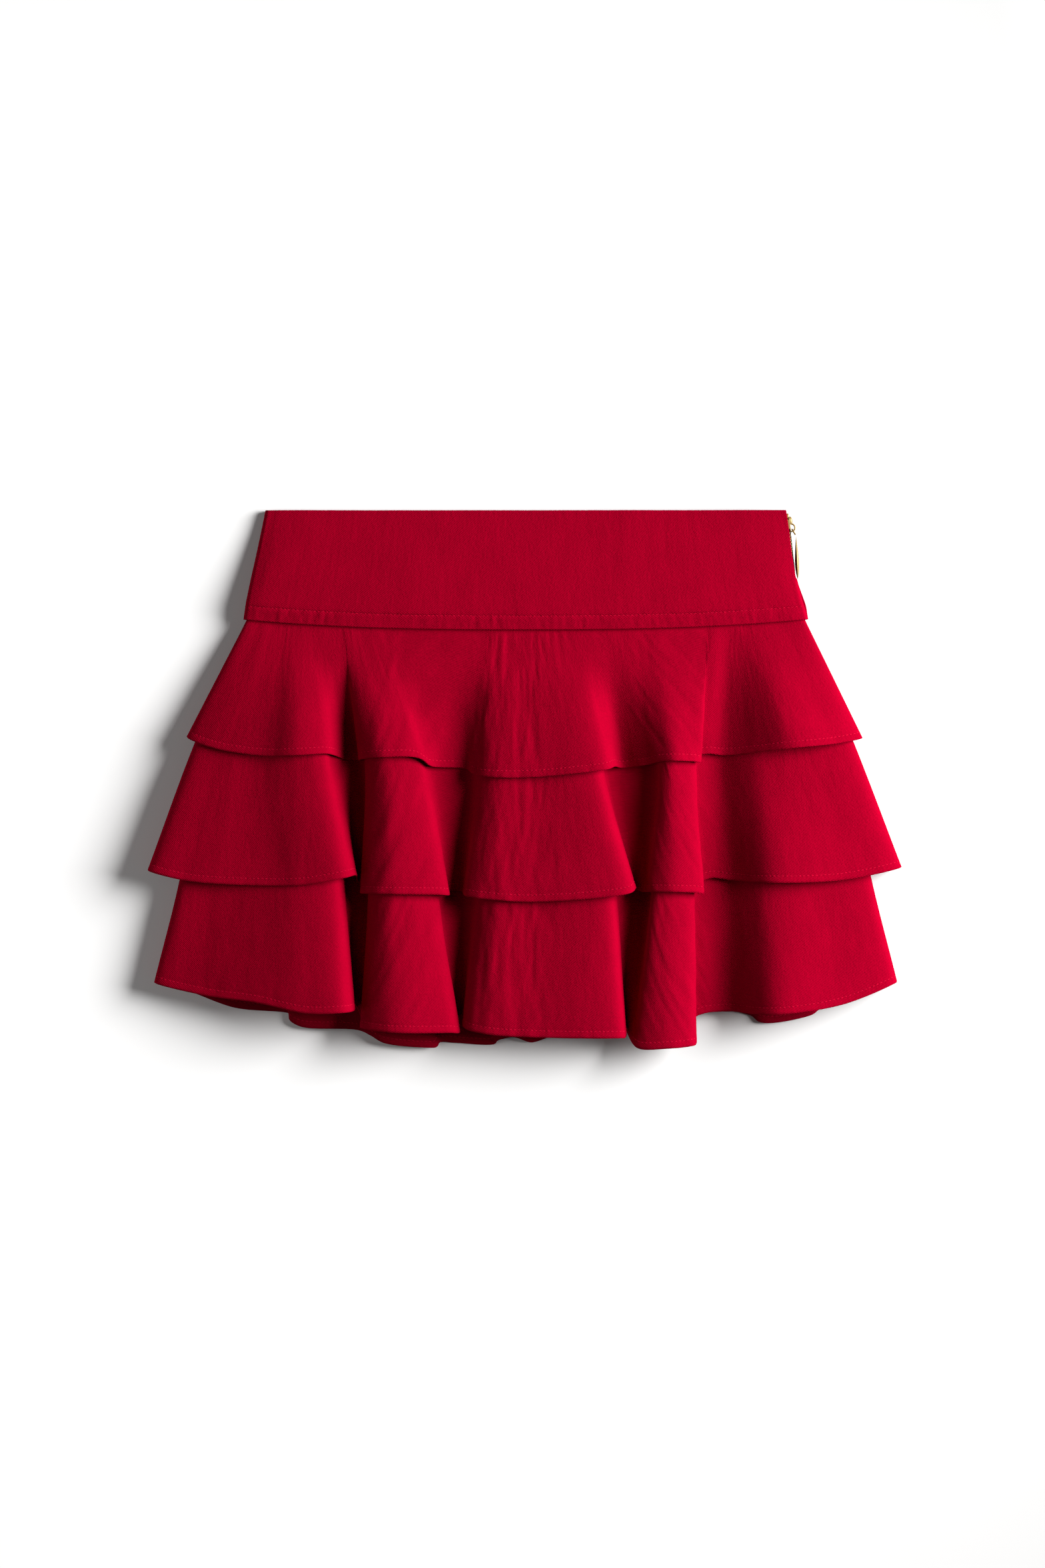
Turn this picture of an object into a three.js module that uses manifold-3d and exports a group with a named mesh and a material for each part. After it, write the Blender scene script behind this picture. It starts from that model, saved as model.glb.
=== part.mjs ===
// Tiered ruffle skirt, laid flat: a shaped hip yoke with a side zip, and three circular flounces.
// All three flounces hang from the yoke seam, one inside the other, the longest innermost.
// Millimetres. Waist towards +Y, hem towards -Y, zip at +X, resting on the plane z = 0.
import * as THREE from "three";
import Module from "manifold-3d";
import { mergeVertices } from "three/addons/utils/BufferGeometryUtils.js";

// Driving dimensions
const CLOTH = 1.1; // wall of a flounce
const YOKE_CLOTH = 1.6; // wall of the yoke, which is double cloth
const GAP = 0.3; // between pieces that lie on each other or meet at a seam
const PITCH = CLOTH + GAP; // from one flounce to the next in the stack at the yoke seam
const LAP = 10; // seam allowance that each flounce has inside the yoke
const LAP_NARROWS = 0.984; // the yoke is that much narrower at the top of the allowance
const LAP_CLEARANCE = 2.5; // from the end of that allowance to where the yoke starts to sink
const SEAM_Y = 106.2; // lower edge of the yoke at the middle
const SEAM_RISE = 7.2; // how far that edge rises towards the sides
const SEAM_POWER = 2.6;
const HALF_SEAM = 200; // half length of that edge
const BAND = 9.5; // height of the turned band along the yoke's lower edge
const BAND_RAISE = 0.4;
const BELLY = 0.06; // how far a flute rounds out halfway down, as a share of its rise
const TIER_NARROWS = 0.011; // share by which each covered flounce is narrower at the seam
const NEST = 3.3; // the lower flounce's distance inside the middle one where both are covered
const NEST_HIGH = 2.8; // the same near the yoke seam
const CLEAR_OF_BACK = 0.8; // least gap there between that flounce and its back panel, besides the usual one

// Heights of the middle of each wall at the yoke seam, from the surface up
const backStack = (tier) => YOKE_CLOTH + GAP + CLOTH / 2 + (tier - 1) * PITCH;
const frontStack = (tier) => backStack(3) + (4 - tier) * PITCH;
const YOKE_FRONT_Z = frontStack(1) + CLOTH / 2 + GAP + YOKE_CLOTH / 2;
const MIDDLE_Z = (frontStack(1) + backStack(1)) / 2;

const RED = { color: 0xa80628, roughness: 0.8, metalness: 0 };
const DEEP_RED = { color: 0x8e0522, roughness: 0.85, metalness: 0 };
const GOLD = { color: 0xd9bd72, roughness: 0.25, metalness: 1 };

const table = (columns, rows) =>
  rows.map((row) => Object.fromEntries(columns.map((name, k) => [name, row[k]])));

// The front's folds, from left to right. Each runs down the skirt from seam, its place at the yoke
// seam, through its places at the three hems: x1, y1, z1 is the upper flounce's hem, x2, y2, z2 the
// middle one's and x3, y3, z3 the lower one's. xu, zu is the middle flounce where it comes out
// from under the upper hem, and xv, zv the lower flounce where it comes out from under the middle hem.
const FRONT = table(
  ["fold", "seam", "x1", "y1", "z1", "xu", "zu", "x2", "y2", "z2", "xv", "zv", "x3", "y3", "z3"],
  [
    ["side_left", -196.5, -239, 30, 12.5, -231.5, 12.5, -266.5, -64, 13, -242.5, 12.5, -262, -144, 13],
    ["left_turn", -196.1, -237.5, 28.5, 22, -230, 20, -264.5, -65.5, 23.5, -241, 20, -260, -145, 22],
    ["a_left", -185, -218, 21.5, 25.5, -213.5, 23, -237, -72, 25.5, -218, 22, -225, -153, 22.5],
    ["a_mid", -171, -183, 16.5, 28.5, -185, 25, -185, -75, 28, -190, 25.5, -190, -157.5, 26],
    ["a_crest", -163, -160, 17, 34, -160, 27.5, -157, -74.5, 31.5, -159, 27.5, -153.5, -165, 32.5],
    ["a_right", -151.5, -140, 18, 29.5, -142, 25.5, -127, -69.5, 31, -135, 25.5, -128, -164.5, 28.5],
    ["a_lip", -144, -133.5, 16.5, 19, -137, 16.4, -119.5, -68, 20.5, -130, 15, -121.5, -163.5, 18],
    ["ab_valley", -135.5, -128.5, 14.5, 11, -127.5, 8.5, -118.5, -73, 8.2, -126.5, 6.7, -120, -160.5, 7.5],
    ["b_tuck", -130, -117, 13.5, 11.3, -113.5, 9.6, -113.5, -79.5, 10.3, -110.5, 8.5, -114, -173, 10],
    ["b_edge", -127.5, -116.5, 14, 19.5, -112.5, 16.5, -115.5, -80.5, 19.5, -110, 16.5, -115.5, -175.5, 19.5],
    ["b_face", -120.5, -101.5, 15.5, 28, -99.5, 23.5, -95.5, -81, 28.5, -97, 23.5, -95.5, -178.5, 29],
    ["b_ridge", -106.5, -75, 15, 30, -74.5, 25.5, -58, -81.5, 30, -67, 25.5, -50.5, -179, 29.5],
    ["b_lip", -97, -67, 9.5, 21, -70.5, 17.5, -54, -82, 21.5, -62.5, 17, -46.5, -179, 21],
    ["bc_left", -85.5, -59, 8.5, 14.5, -65, 11.2, -53.5, -79.5, 10, -60.5, 8, -46.2, -170, 9],
    ["bc_right", -45, -41.5, 7.5, 11, -38, 9, -45, -79, 9.5, -38.5, 7, -44, -166.5, 9],
    ["c_edge", -26.5, -35.5, 3.5, 18, -30, 15.5, -41.5, -82.5, 18.5, -32, 15.5, -42.5, -175.5, 18],
    ["c_left", -19, -25, 1.5, 25.5, -21, 21.5, -28, -84.5, 25.5, -21.5, 21.5, -29.5, -179.5, 25.5],
    ["c_mid", 2, 6, 1.5, 28.5, 6, 24, 6, -86.5, 28.5, 6, 24, 6, -182, 28.5],
    ["c_ridge", 32.5, 58, 7, 30.5, 53.5, 25.5, 73.5, -80.5, 30.5, 59, 25.5, 67, -182.5, 30.5],
    ["c_lip", 41, 63.5, 9, 20.5, 57.5, 18, 78, -77, 21.5, 63, 17.5, 71, -182, 21],
    ["cd_valley", 55.5, 69, 8, 10, 62, 7.9, 77.5, -77.5, 11, 72, 6.7, 71.5, -172.5, 9],
    ["d_edge", 70.5, 87.5, 10.5, 18, 89, 13.3, 81.5, -79.5, 17.5, 86, 12, 73.5, -182, 17],
    ["d_left", 81.5, 95.5, 12.5, 24.5, 96, 21, 89, -79.5, 24.5, 91, 20.5, 80, -190, 24.5],
    ["d_crest", 93, 105, 13, 29.5, 102, 25, 104, -79.5, 29.5, 100, 24.5, 100, -190, 29.5],
    ["d_right", 116.5, 119, 12.5, 25.5, 116.5, 21.5, 120.5, -80, 25.5, 115, 21.5, 116.5, -188.5, 25.5],
    ["d_lip", 129.5, 124, 12, 22, 120.5, 18, 126, -80.5, 21.5, 119.5, 18, 120.5, -187, 21],
    ["d_tuck", 131.5, 122.5, 16.5, 17.5, 119.5, 13, 124, -73.5, 14, 118.5, 11, 119.5, -170, 11],
    ["e_left", 137, 130, 18, 15, 126.5, 11, 131.5, -70, 11.5, 125.5, 8.5, 126.5, -166, 9.5],
    ["e_valley", 145.5, 141, 17, 13, 138, 9.5, 146.5, -71.5, 12.5, 143, 8, 145, -164.5, 10],
    ["e_crest", 161.5, 189, 22, 33.5, 164, 19, 177, -73, 31.5, 170, 22, 175.5, -166, 31],
    ["e_right", 181.5, 218, 25, 28.5, 201, 21, 225, -71, 27.5, 210.5, 22.5, 224, -159, 27],
    ["right_turn", 197.6, 237, 28.5, 20, 229.5, 18.5, 264, -63, 20.5, 241.5, 18.5, 261, -144.5, 20],
    ["side_right", 198, 238.5, 29.5, 12.5, 231, 12.5, 266, -61.5, 13, 243, 12.5, 263, -143, 13],
  ],
);

// The lower flounce's hem at the back, which shows past the front hem: four low laps where the
// cloth is folded over itself. seam is the fold's place at the yoke seam, x, y its place at the hem
// and lift its height there above the cloth's lying height.
const BACK_HEM = table(
  ["fold", "seam", "x", "y", "lift"],
  [
    ["left_floor", -182, -244, -148.5, 0],
    ["left_plain", -163, -206.5, -162, 0],
    ["lap1_foot", -146, -166, -167, 0],
    ["lap1_edge", -143.5, -167, -170.5, 1.6],
    ["lap1_top", -138, -159, -175.5, 3.2],
    ["lap1_plain", -121, -118, -178, 3.2],
    ["lap2_edge", -113, -109, -182, 4.4],
    ["lap2_top", -108, -100, -187, 5.4],
    ["lap2_right", -92, -69, -190.3, 5.2],
    ["lap2_lip", -88, -62.5, -190, 3.4],
    ["lap2_foot", -83, -60.5, -186.8, 0.6],
    ["middle_left", -74, -48, -187.2, 0],
    ["lap3_foot", -50, -21.5, -188, 0],
    ["lap3_edge", -45, -19.5, -185.5, 2],
    ["lap3_top", -36, -8, -183, 3.8],
    ["lap3_lip", -24, 3, -186.5, 2.8],
    ["lap3_end", -18, 7, -186.5, 0.4],
    ["middle", 4, 24, -181, 0],
    ["middle_right", 60, 80, -176, 0],
    ["right_of_d", 122, 124, -163, 0],
    ["lap4_foot", 146, 160, -167.5, 0],
    ["lap4_edge", 151, 166, -172, 1.6],
    ["lap4_top", 155, 174, -173, 2.8],
    ["lap4_right", 166, 204, -167, 2.6],
    ["lap4_end", 170, 209.5, -163, 0.6],
    ["right_floor", 181, 240, -154, 0],
  ],
);

const LIFT_STARTS = 0.2; // share of a lap's lift that it has at the middle hem
const PLAIN_BACK = [-HALF_SEAM / 2, 0, HALF_SEAM / 2].map((seam) => ({ seam, lift: 0 }));
const BACK_HEMS_Y = [4, -88, -188]; // the back hems at the middle

// A back panel's side, from its edge inwards: how far up it has turned towards the front's edge
const SIDE_PROFILE = table(
  ["up", "inset"],
  [
    [1, 0],
    [0.34, 0.7],
    [0.04, 5],
    [0, 11],
  ],
);
const SIDE_DROP = 0.35; // how far the hem falls away from the side, for each millimetre inwards
const RIM_GAP = 0.4; // between the front's and the back's side edges
const SEAM_CLOSES = [1, 0.4, 0]; // how far each back panel's side closes already at the yoke seam

// How far each front's side edge, and the fold beside it, turn towards the back at the yoke seam
const SEAM_TURNS = [
  [0.93, 0.16],
  [0.5, 0.08],
  [0, 0],
];

// The yoke's levels from the waist down: y is at the middle, sag the share of the seam's rise that
// the level has, left and right the side edges, and left_z, z and right_z the front panel's height.
// closed is 1 where the right side is sewn shut and 0 beside the zip.
const LAP_END = SEAM_Y + LAP + LAP_CLEARANCE;
const YOKE_LEVELS = table(
  ["level", "y", "sag", "left", "right", "left_z", "z", "right_z", "closed"],
  [
    ["waist", 190.8, 0, -183.3, 185.1, 4.4, 4.6, 9, 0],
    ["upper", 174, 0.15, -186.5, 187.4, 4.8, 5.2, 9.2, 0],
    ["middle", 156, 0.35, -190, 189.3, 6, 6.3, 9.5, 0],
    ["zip_end", 139, 0.6, -193.4, 191.8, 8, 8.4, 10, 0],
    ["lap_end", LAP_END, 1, -197, 196.6, YOKE_FRONT_Z, YOKE_FRONT_Z, YOKE_FRONT_Z, 1],
    ["stitches", SEAM_Y + BAND, 1, -197.4, 197.6, YOKE_FRONT_Z, YOKE_FRONT_Z, YOKE_FRONT_Z, 1],
    ["edge", SEAM_Y, 1, -198.8, 200.2, YOKE_FRONT_Z, YOKE_FRONT_Z, YOKE_FRONT_Z, 1],
  ],
);
const YOKE_COLUMNS = [-1, -0.993, -0.95, -0.75, -0.5, -0.25, 0, 0.25, 0.5, 0.75, 0.95, 0.993, 1];
const YOKE_TURNS = [0.97, 0.1];
const BACK_EDGE_SHOWS = 1.2; // the back yoke's right edge reaches past the front's below the zip

// The zip, which stands on edge along the right side and faces +X
const ZIP_TOP = 188.5;
const ZIP_BOTTOM = 141;
const TAPE_CLOTH = 1;
const CHAIN_THICK = 1.6;
const CHAIN_WIDE = 4.4;
const SLIDER = { y: 180.8, long: 11, wide: 7.2, thick: 0.9, flange: 0.8, flangeLong: 6.8, inner: 0.4 };
const PLATE = { corner: 0.3, shoulder: 0.36, notch: 0.4 }; // shares of the slider's width and length
const BAIL = { y: -2.6, stands: 0.4, radius: 2.7, wire: 0.55, steps: 10 };
const LINK = { radius: 2.2, wire: 0.45, rest: -66, slack: 0.77, steps: 18 };
const PULL = { long: 31, wide: 6.6, thick: 2.6, swell: 0.86, tilt: 29.4, steps: 14 };
const DROP_LOW = 1.55; // more puts the widest place of the pull lower
const DROP_FULL = 0.8; // less makes its ends rounder
const NECK_START = 6; // the neck has its full width at one part in so many of the length
const WIRE_SEGMENTS = 4;

const wasm = await Module();
wasm.setup();

// A geometry as a manifold-3d solid, and back
function solidOf(geometry) {
  const bare = geometry.clone();
  bare.deleteAttribute("normal");
  bare.deleteAttribute("uv");
  const merged = mergeVertices(bare, 1e-4);
  const mesh = new wasm.Mesh({
    numProp: 3,
    vertProperties: new Float32Array(merged.attributes.position.array),
    triVerts: new Uint32Array(merged.index.array),
  });
  return new wasm.Manifold(mesh);
}

function joined(...geometries) {
  const mesh = geometries
    .map(solidOf)
    .reduce((whole, piece) => whole.add(piece))
    .getMesh();
  const geometry = new THREE.BufferGeometry();
  geometry.setAttribute("position", new THREE.BufferAttribute(mesh.vertProperties, 3));
  geometry.setIndex(new THREE.BufferAttribute(mesh.triVerts, 1));
  geometry.computeVertexNormals();
  return geometry;
}

// The cloth's normal at a grid point: grid[i][j], i down the cloth and j across it. A side edge that
// turns to meet the other panel ends upright, so that the two rims lie level.
const TURNS_FROM = 0.3; // the rise along the edge's last step from which it counts as turning
function normalAt(grid, i, j) {
  const row = grid[i];
  const down = new THREE.Vector3().subVectors(
    grid[Math.min(i + 1, grid.length - 1)][j],
    grid[Math.max(i - 1, 0)][j],
  );
  const across = new THREE.Vector3().subVectors(
    row[Math.min(j + 1, row.length - 1)],
    row[Math.max(j - 1, 0)],
  );
  const atEdge = j === 0 || j === row.length - 1;
  if (atEdge && Math.abs(across.z) > TURNS_FROM * across.length()) across.setX(0).setY(0);
  return down.cross(across).normalize();
}

// A closed wall of even thickness about the grid's points
function wall(grid, thickness) {
  const rows = grid.length;
  const columns = grid[0].length;
  const count = rows * columns;
  const positions = [];
  for (const side of [0.5, -0.5]) {
    for (let i = 0; i < rows; i++) {
      for (let j = 0; j < columns; j++) {
        const point = grid[i][j].clone();
        point.addScaledVector(normalAt(grid, i, j), side * thickness);
        positions.push(...point);
      }
    }
  }
  const faces = [];
  const quad = (a, b, c, d) => faces.push(a, b, c, a, c, d);
  for (let i = 0; i + 1 < rows; i++) {
    for (let j = 0; j + 1 < columns; j++) {
      const a = i * columns + j;
      const [b, c, d] = [a + columns, a + columns + 1, a + 1];
      quad(a, b, c, d);
      quad(a + count, d + count, c + count, b + count);
    }
  }
  const rim = (p, q) => quad(p + count, q + count, q, p);
  const last = (rows - 1) * columns;
  for (let j = 0; j + 1 < columns; j++) {
    rim(last + j, last + j + 1);
    rim(j + 1, j);
  }
  for (let i = 0; i + 1 < rows; i++) {
    rim(i * columns, (i + 1) * columns);
    rim((i + 2) * columns - 1, (i + 1) * columns - 1);
  }
  const geometry = new THREE.BufferGeometry();
  geometry.setAttribute("position", new THREE.Float32BufferAttribute(positions, 3));
  geometry.setIndex(faces);
  geometry.computeVertexNormals();
  return geometry;
}

const smooth = (points) => new THREE.CatmullRomCurve3(points, false, "centripetal");

// Cloth that hangs from the yoke seam, given as cross sections from the seam down to the hem. It runs
// smoothly from fold to fold and down each fold, with its seam allowance above the seam.
function flounce(sections, stepsDown, stepsAcross) {
  const lines = foldsOf(sections).map(smooth);
  const seam = sections[0];
  const grid = [seam.map(({ x, y, z }) => new THREE.Vector3(x * LAP_NARROWS, y + LAP, z))];
  for (let i = 0; i <= stepsDown; i++) {
    grid.push(lines.map((line) => line.getPoint(i / stepsDown)));
  }
  const across = (seam.length - 1) * stepsAcross;
  const cloth = grid.map((row) => smooth(row).getPoints(across));
  cloth.flat().forEach((point) => point.setZ(Math.max(point.z, CLOTH / 2)));
  return wall(cloth, CLOTH);
}

const foldsOf = (sections) => sections[0].map((_, k) => sections.map((section) => section[k]));
const seamY = (x) => SEAM_Y + SEAM_RISE * Math.abs(x / HALF_SEAM) ** SEAM_POWER;
const narrowed = (tier, x) => x * (1 - (tier - 1) * TIER_NARROWS);
const rankOf = (k, count) => Math.min(k, count - 1 - k);

// The section halfway between two others, rounded out by a share of the rise between them
function halfway(from, to, belly) {
  return from.map((start, k) => {
    const point = start.clone().lerp(to[k], 0.5);
    return point.setZ(point.z + belly * (to[k].z - start.z));
  });
}

// A section's points moved inside it, along its own normals, and kept above the back panels
function nested(section, distance, lowest) {
  return section.map((point, k) => {
    const before = section[Math.max(k - 1, 0)];
    const after = section[Math.min(k + 1, section.length - 1)];
    const along = new THREE.Vector2(after.x - before.x, after.z - before.z).normalize();
    const z = Math.max(point.z - along.x * distance, lowest);
    return new THREE.Vector3(point.x + along.y * distance, point.y, z);
  });
}

const frontSection = (x, y, z) => FRONT.map((row) => new THREE.Vector3(row[x], row[y], row[z]));

function frontSections(tier) {
  const seam = FRONT.map((row, k) => {
    const turned = SEAM_TURNS[tier - 1][rankOf(k, FRONT.length)] ?? 0;
    const z = THREE.MathUtils.lerp(frontStack(tier), MIDDLE_Z, turned);
    return new THREE.Vector3(narrowed(tier, row.seam), seamY(row.seam), z);
  });
  if (tier === 1) {
    const hem = frontSection("x1", "y1", "z1");
    return [seam, halfway(seam, hem, BELLY), hem];
  }
  const underUpper = frontSection("xu", "y1", "zu");
  if (tier === 2) return [seam, underUpper, frontSection("x2", "y2", "z2")];
  // The lower flounce follows the middle one as far as it is covered by both
  const firstQuarter = foldsOf(frontSections(2)).map((fold) => smooth(fold).getPoint(1 / 4));
  const [, half, covered] = backLevels(3).map((level) => level.z + PITCH + CLEAR_OF_BACK);
  return [
    seam,
    nested(firstQuarter, NEST_HIGH, half),
    nested(underUpper, NEST, covered),
    frontSection("xv", "y2", "zv"),
    frontSection("x3", "y3", "z3"),
  ];
}

// Where a back panel lies, section by section: y at its middle, and its height on what is below it
function backLevels(tier) {
  const seam = { y: SEAM_Y, z: backStack(tier) };
  const hems = BACK_HEMS_Y.slice(0, tier).map((y, k) => ({ y, z: CLOTH / 2 + (tier - 1 - k) * PITCH }));
  if (tier === 2) return [seam, ...hems];
  return [seam, { y: (seam.y + hems[0].y) / 2, z: (seam.z + hems[0].z) / 2 }, ...hems];
}

// A back panel meets the front at its side edges, and between them it lies flat, apart from the
// laps along the lower hem.
function backSections(tier) {
  const front = frontSections(tier);
  const levels = backLevels(tier);
  const inner = tier === 3 ? BACK_HEM : PLAIN_BACK;
  const last = levels.length - 1;
  return levels.map((level, k) => {
    const [left, right] = [front[k][0], front[k][front[k].length - 1]];
    const closes = k === 0 ? SEAM_CLOSES[tier - 1] : 1;
    const side = (end) =>
      SIDE_PROFILE.map(({ up, inset }) => {
        const z = THREE.MathUtils.lerp(level.z, end.z - RIM_GAP, up * closes);
        return new THREE.Vector3(end.x - Math.sign(end.x) * inset, end.y - inset * SIDE_DROP, z);
      });
    const between = inner.map((fold) => {
      const f = fold.seam / HALF_SEAM;
      const end = f < 0 ? left : right;
      if (k === 0) return new THREE.Vector3(narrowed(tier, fold.seam), seamY(fold.seam), level.z);
      if (tier === 3 && k === last) return new THREE.Vector3(fold.x, fold.y, level.z + fold.lift);
      const lift = k === last - 1 ? LIFT_STARTS * fold.lift : 0;
      const y = THREE.MathUtils.lerp(level.y, end.y, f * f);
      return new THREE.Vector3(Math.abs(f) * end.x, y, level.z + lift);
    });
    return [...side(left), ...between, ...side(right).reverse()];
  });
}

// The yoke's panels
const levelX = (level, f) => (f < 0 ? -f * level.left : f * level.right);
const levelY = (level, x) => level.y + level.sag * (seamY(x) - SEAM_Y);

function yokeFront() {
  const grid = YOKE_LEVELS.map((level) =>
    YOKE_COLUMNS.map((f, k) => {
      const flat = f < 0 ? level.left_z : level.right_z;
      const high = THREE.MathUtils.lerp(level.z, flat, f * f);
      const middle = (high + YOKE_CLOTH / 2) / 2 + GAP / 2;
      const turned = YOKE_TURNS[rankOf(k, YOKE_COLUMNS.length)] ?? 0;
      const share = f > 0 ? turned * level.closed : turned;
      const x = levelX(level, f);
      const raise = level.level === "edge" ? BAND_RAISE : 0;
      return new THREE.Vector3(x, levelY(level, x), THREE.MathUtils.lerp(high + raise, middle, share));
    }),
  );
  return wall(grid, YOKE_CLOTH);
}

function yokeBack() {
  const low = YOKE_CLOTH / 2;
  const grid = YOKE_LEVELS.map((level) =>
    YOKE_COLUMNS.map((f, k) => {
      const high = f < 0 ? level.left_z : level.right_z;
      const middle = (high + low) / 2 - GAP / 2;
      const turned = YOKE_TURNS[rankOf(k, YOKE_COLUMNS.length)] ?? 0;
      const share = f > 0 ? turned * level.closed : turned;
      const past = f > 0 ? BACK_EDGE_SHOWS * level.closed * (level.level === "edge" ? 0 : 1) : 0;
      const x = levelX(level, f) + f * past;
      return new THREE.Vector3(x, levelY(level, x), THREE.MathUtils.lerp(low, middle, share));
    }),
  );
  return wall(grid, YOKE_CLOTH);
}

// The yoke's right edge and the front panel's height there, at any height beside the zip
function beside(y, column) {
  const k = YOKE_LEVELS.findIndex((level) => level.y <= y);
  const [above, below] = [YOKE_LEVELS[k - 1], YOKE_LEVELS[k]];
  return THREE.MathUtils.mapLinear(y, above.y, below.y, above[column], below[column]);
}
const zipMiddleZ = (y) => (YOKE_CLOTH + beside(y, "right_z") - YOKE_CLOTH / 2) / 2;

// An upright strip beside the yoke's right edge, from low(y) to high(y)
function upright(out, thickness, low, high, steps) {
  const grid = [];
  for (let i = 0; i <= steps; i++) {
    const y = THREE.MathUtils.lerp(ZIP_TOP, ZIP_BOTTOM, i / steps);
    const x = beside(y, "right") + out;
    grid.push([new THREE.Vector3(x, y, low(y)), new THREE.Vector3(x, y, high(y))]);
  }
  return wall(grid, thickness);
}

const TAPE_OUT = -1.9;
const CHAIN_OUT = TAPE_OUT + TAPE_CLOTH / 2 + GAP + CHAIN_THICK / 2;
const PLATE_OUT = CHAIN_OUT + CHAIN_THICK / 2 + GAP;

function zipTape() {
  const low = () => YOKE_CLOTH + GAP;
  const high = (y) => beside(y, "right_z") - YOKE_CLOTH / 2 - GAP;
  return upright(TAPE_OUT, TAPE_CLOTH, low, high, 6);
}

function zipChain() {
  const low = (y) => zipMiddleZ(y) - CHAIN_WIDE / 2;
  const high = (y) => zipMiddleZ(y) + CHAIN_WIDE / 2;
  return upright(CHAIN_OUT, CHAIN_THICK, low, high, 10);
}

// The slider's own frame: x outwards from the yoke's edge, y up along the slanting chain, z across it
const SPAN = SLIDER.long / 2;
const slant = Math.atan2(
  beside(SLIDER.y - SPAN, "right") - beside(SLIDER.y + SPAN, "right"),
  2 * SPAN,
);
function onZip(geometry) {
  return geometry.rotateZ(slant).translate(beside(SLIDER.y, "right"), SLIDER.y, zipMiddleZ(SLIDER.y));
}
const PLATE_FACE = PLATE_OUT + SLIDER.thick;
const BAIL_OUT = PLATE_FACE + BAIL.stands;

function zipSlider() {
  const { long, wide, thick, flange, flangeLong, inner } = SLIDER;
  const [side, end] = [wide / 2, long / 2];
  const corner = wide * PLATE.corner;
  const outline = new THREE.Shape();
  outline.moveTo(-corner, -end);
  outline.lineTo(corner, -end);
  outline.lineTo(side, -long * PLATE.corner);
  outline.lineTo(side, long * PLATE.shoulder);
  outline.quadraticCurveTo(side, end, corner, end);
  outline.quadraticCurveTo(0, long * PLATE.notch, -corner, end);
  outline.quadraticCurveTo(-side, end, -side, long * PLATE.shoulder);
  outline.lineTo(-side, -long * PLATE.corner);
  const solid = { depth: thick, bevelEnabled: false, curveSegments: WIRE_SEGMENTS };
  const plate = new THREE.ExtrudeGeometry(outline, solid);
  plate.rotateY(Math.PI / 2);
  plate.translate(PLATE_OUT, 0, 0);
  const depth = PLATE_OUT + thick / 2 - inner;
  const flanges = [-1, 1].map((sign) => {
    const bar = new THREE.BoxGeometry(depth, flangeLong, flange);
    return bar.translate(inner + depth / 2, 0, sign * (side - flange / 2));
  });
  return onZip(joined(plate, ...flanges, bail()));
}

// A wire bent to a half circle that stands on the plate
function bail() {
  const arc = new THREE.EllipseCurve(0, 0, BAIL.radius, BAIL.radius, -Math.PI / 2, Math.PI / 2);
  const points = arc.getPoints(BAIL.steps).map((p) => new THREE.Vector3(p.x, p.y, 0));
  const sunk = new THREE.Vector3(-BAIL.stands - SLIDER.thick / 2, 0, 0);
  const path = new THREE.CatmullRomCurve3([
    points[0].clone().add(sunk),
    ...points,
    points[BAIL.steps].clone().add(sunk),
  ]);
  const section = new THREE.Shape().absarc(0, 0, BAIL.wire, 0, Math.PI * 2);
  const bent = { steps: BAIL.steps + 4, extrudePath: path, curveSegments: WIRE_SEGMENTS };
  const wire = new THREE.ExtrudeGeometry(section, bent);
  return wire.translate(BAIL_OUT, BAIL.y, 0);
}

// The link and the pull swing about the bail's middle. Their own frame has its origin there and
// x along the swing's arm.
const restAngle = THREE.MathUtils.degToRad(LINK.rest);
const onBail = (geometry) => onZip(geometry.rotateZ(restAngle).translate(BAIL_OUT, BAIL.y, 0));

// The wire link round the bail, in a plane through the swing axis
const LINK_OUT = BAIL.radius + LINK.slack;
function zipLink() {
  const ring = new THREE.TorusGeometry(LINK.radius, LINK.wire, 2 * WIRE_SEGMENTS, LINK.steps);
  return onBail(ring.rotateX(Math.PI / 2).translate(LINK_OUT, 0, 0));
}

// The drop-shaped pull, hanging from the link: widest two thirds of the way down, round at the tip
// and slender at the top
function zipPull() {
  const profile = [new THREE.Vector2(0, 0)];
  for (let k = 1; k < PULL.steps; k++) {
    const t = k / PULL.steps;
    const drop = PULL.swell * Math.sin(Math.PI * t ** DROP_LOW) ** DROP_FULL;
    const neck = (1 - PULL.swell) * Math.sqrt(1 - t) * Math.min(1, t * NECK_START);
    profile.push(new THREE.Vector2((drop + neck) / 2, -PULL.long * t));
  }
  profile.push(new THREE.Vector2(0, -PULL.long));
  const drop = new THREE.LatheGeometry(profile.reverse(), PULL.steps);
  drop.scale(PULL.thick, 1, PULL.wide);
  drop.rotateZ(Math.PI / 2 - THREE.MathUtils.degToRad(PULL.tilt));
  return onBail(drop.translate(LINK_OUT + LINK.radius + LINK.wire + GAP, 0, 0));
}

const skirt = new THREE.Group();
function add(name, geometry, look) {
  const mesh = new THREE.Mesh(geometry, new THREE.MeshStandardMaterial(look));
  mesh.name = name;
  skirt.add(mesh);
}

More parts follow.
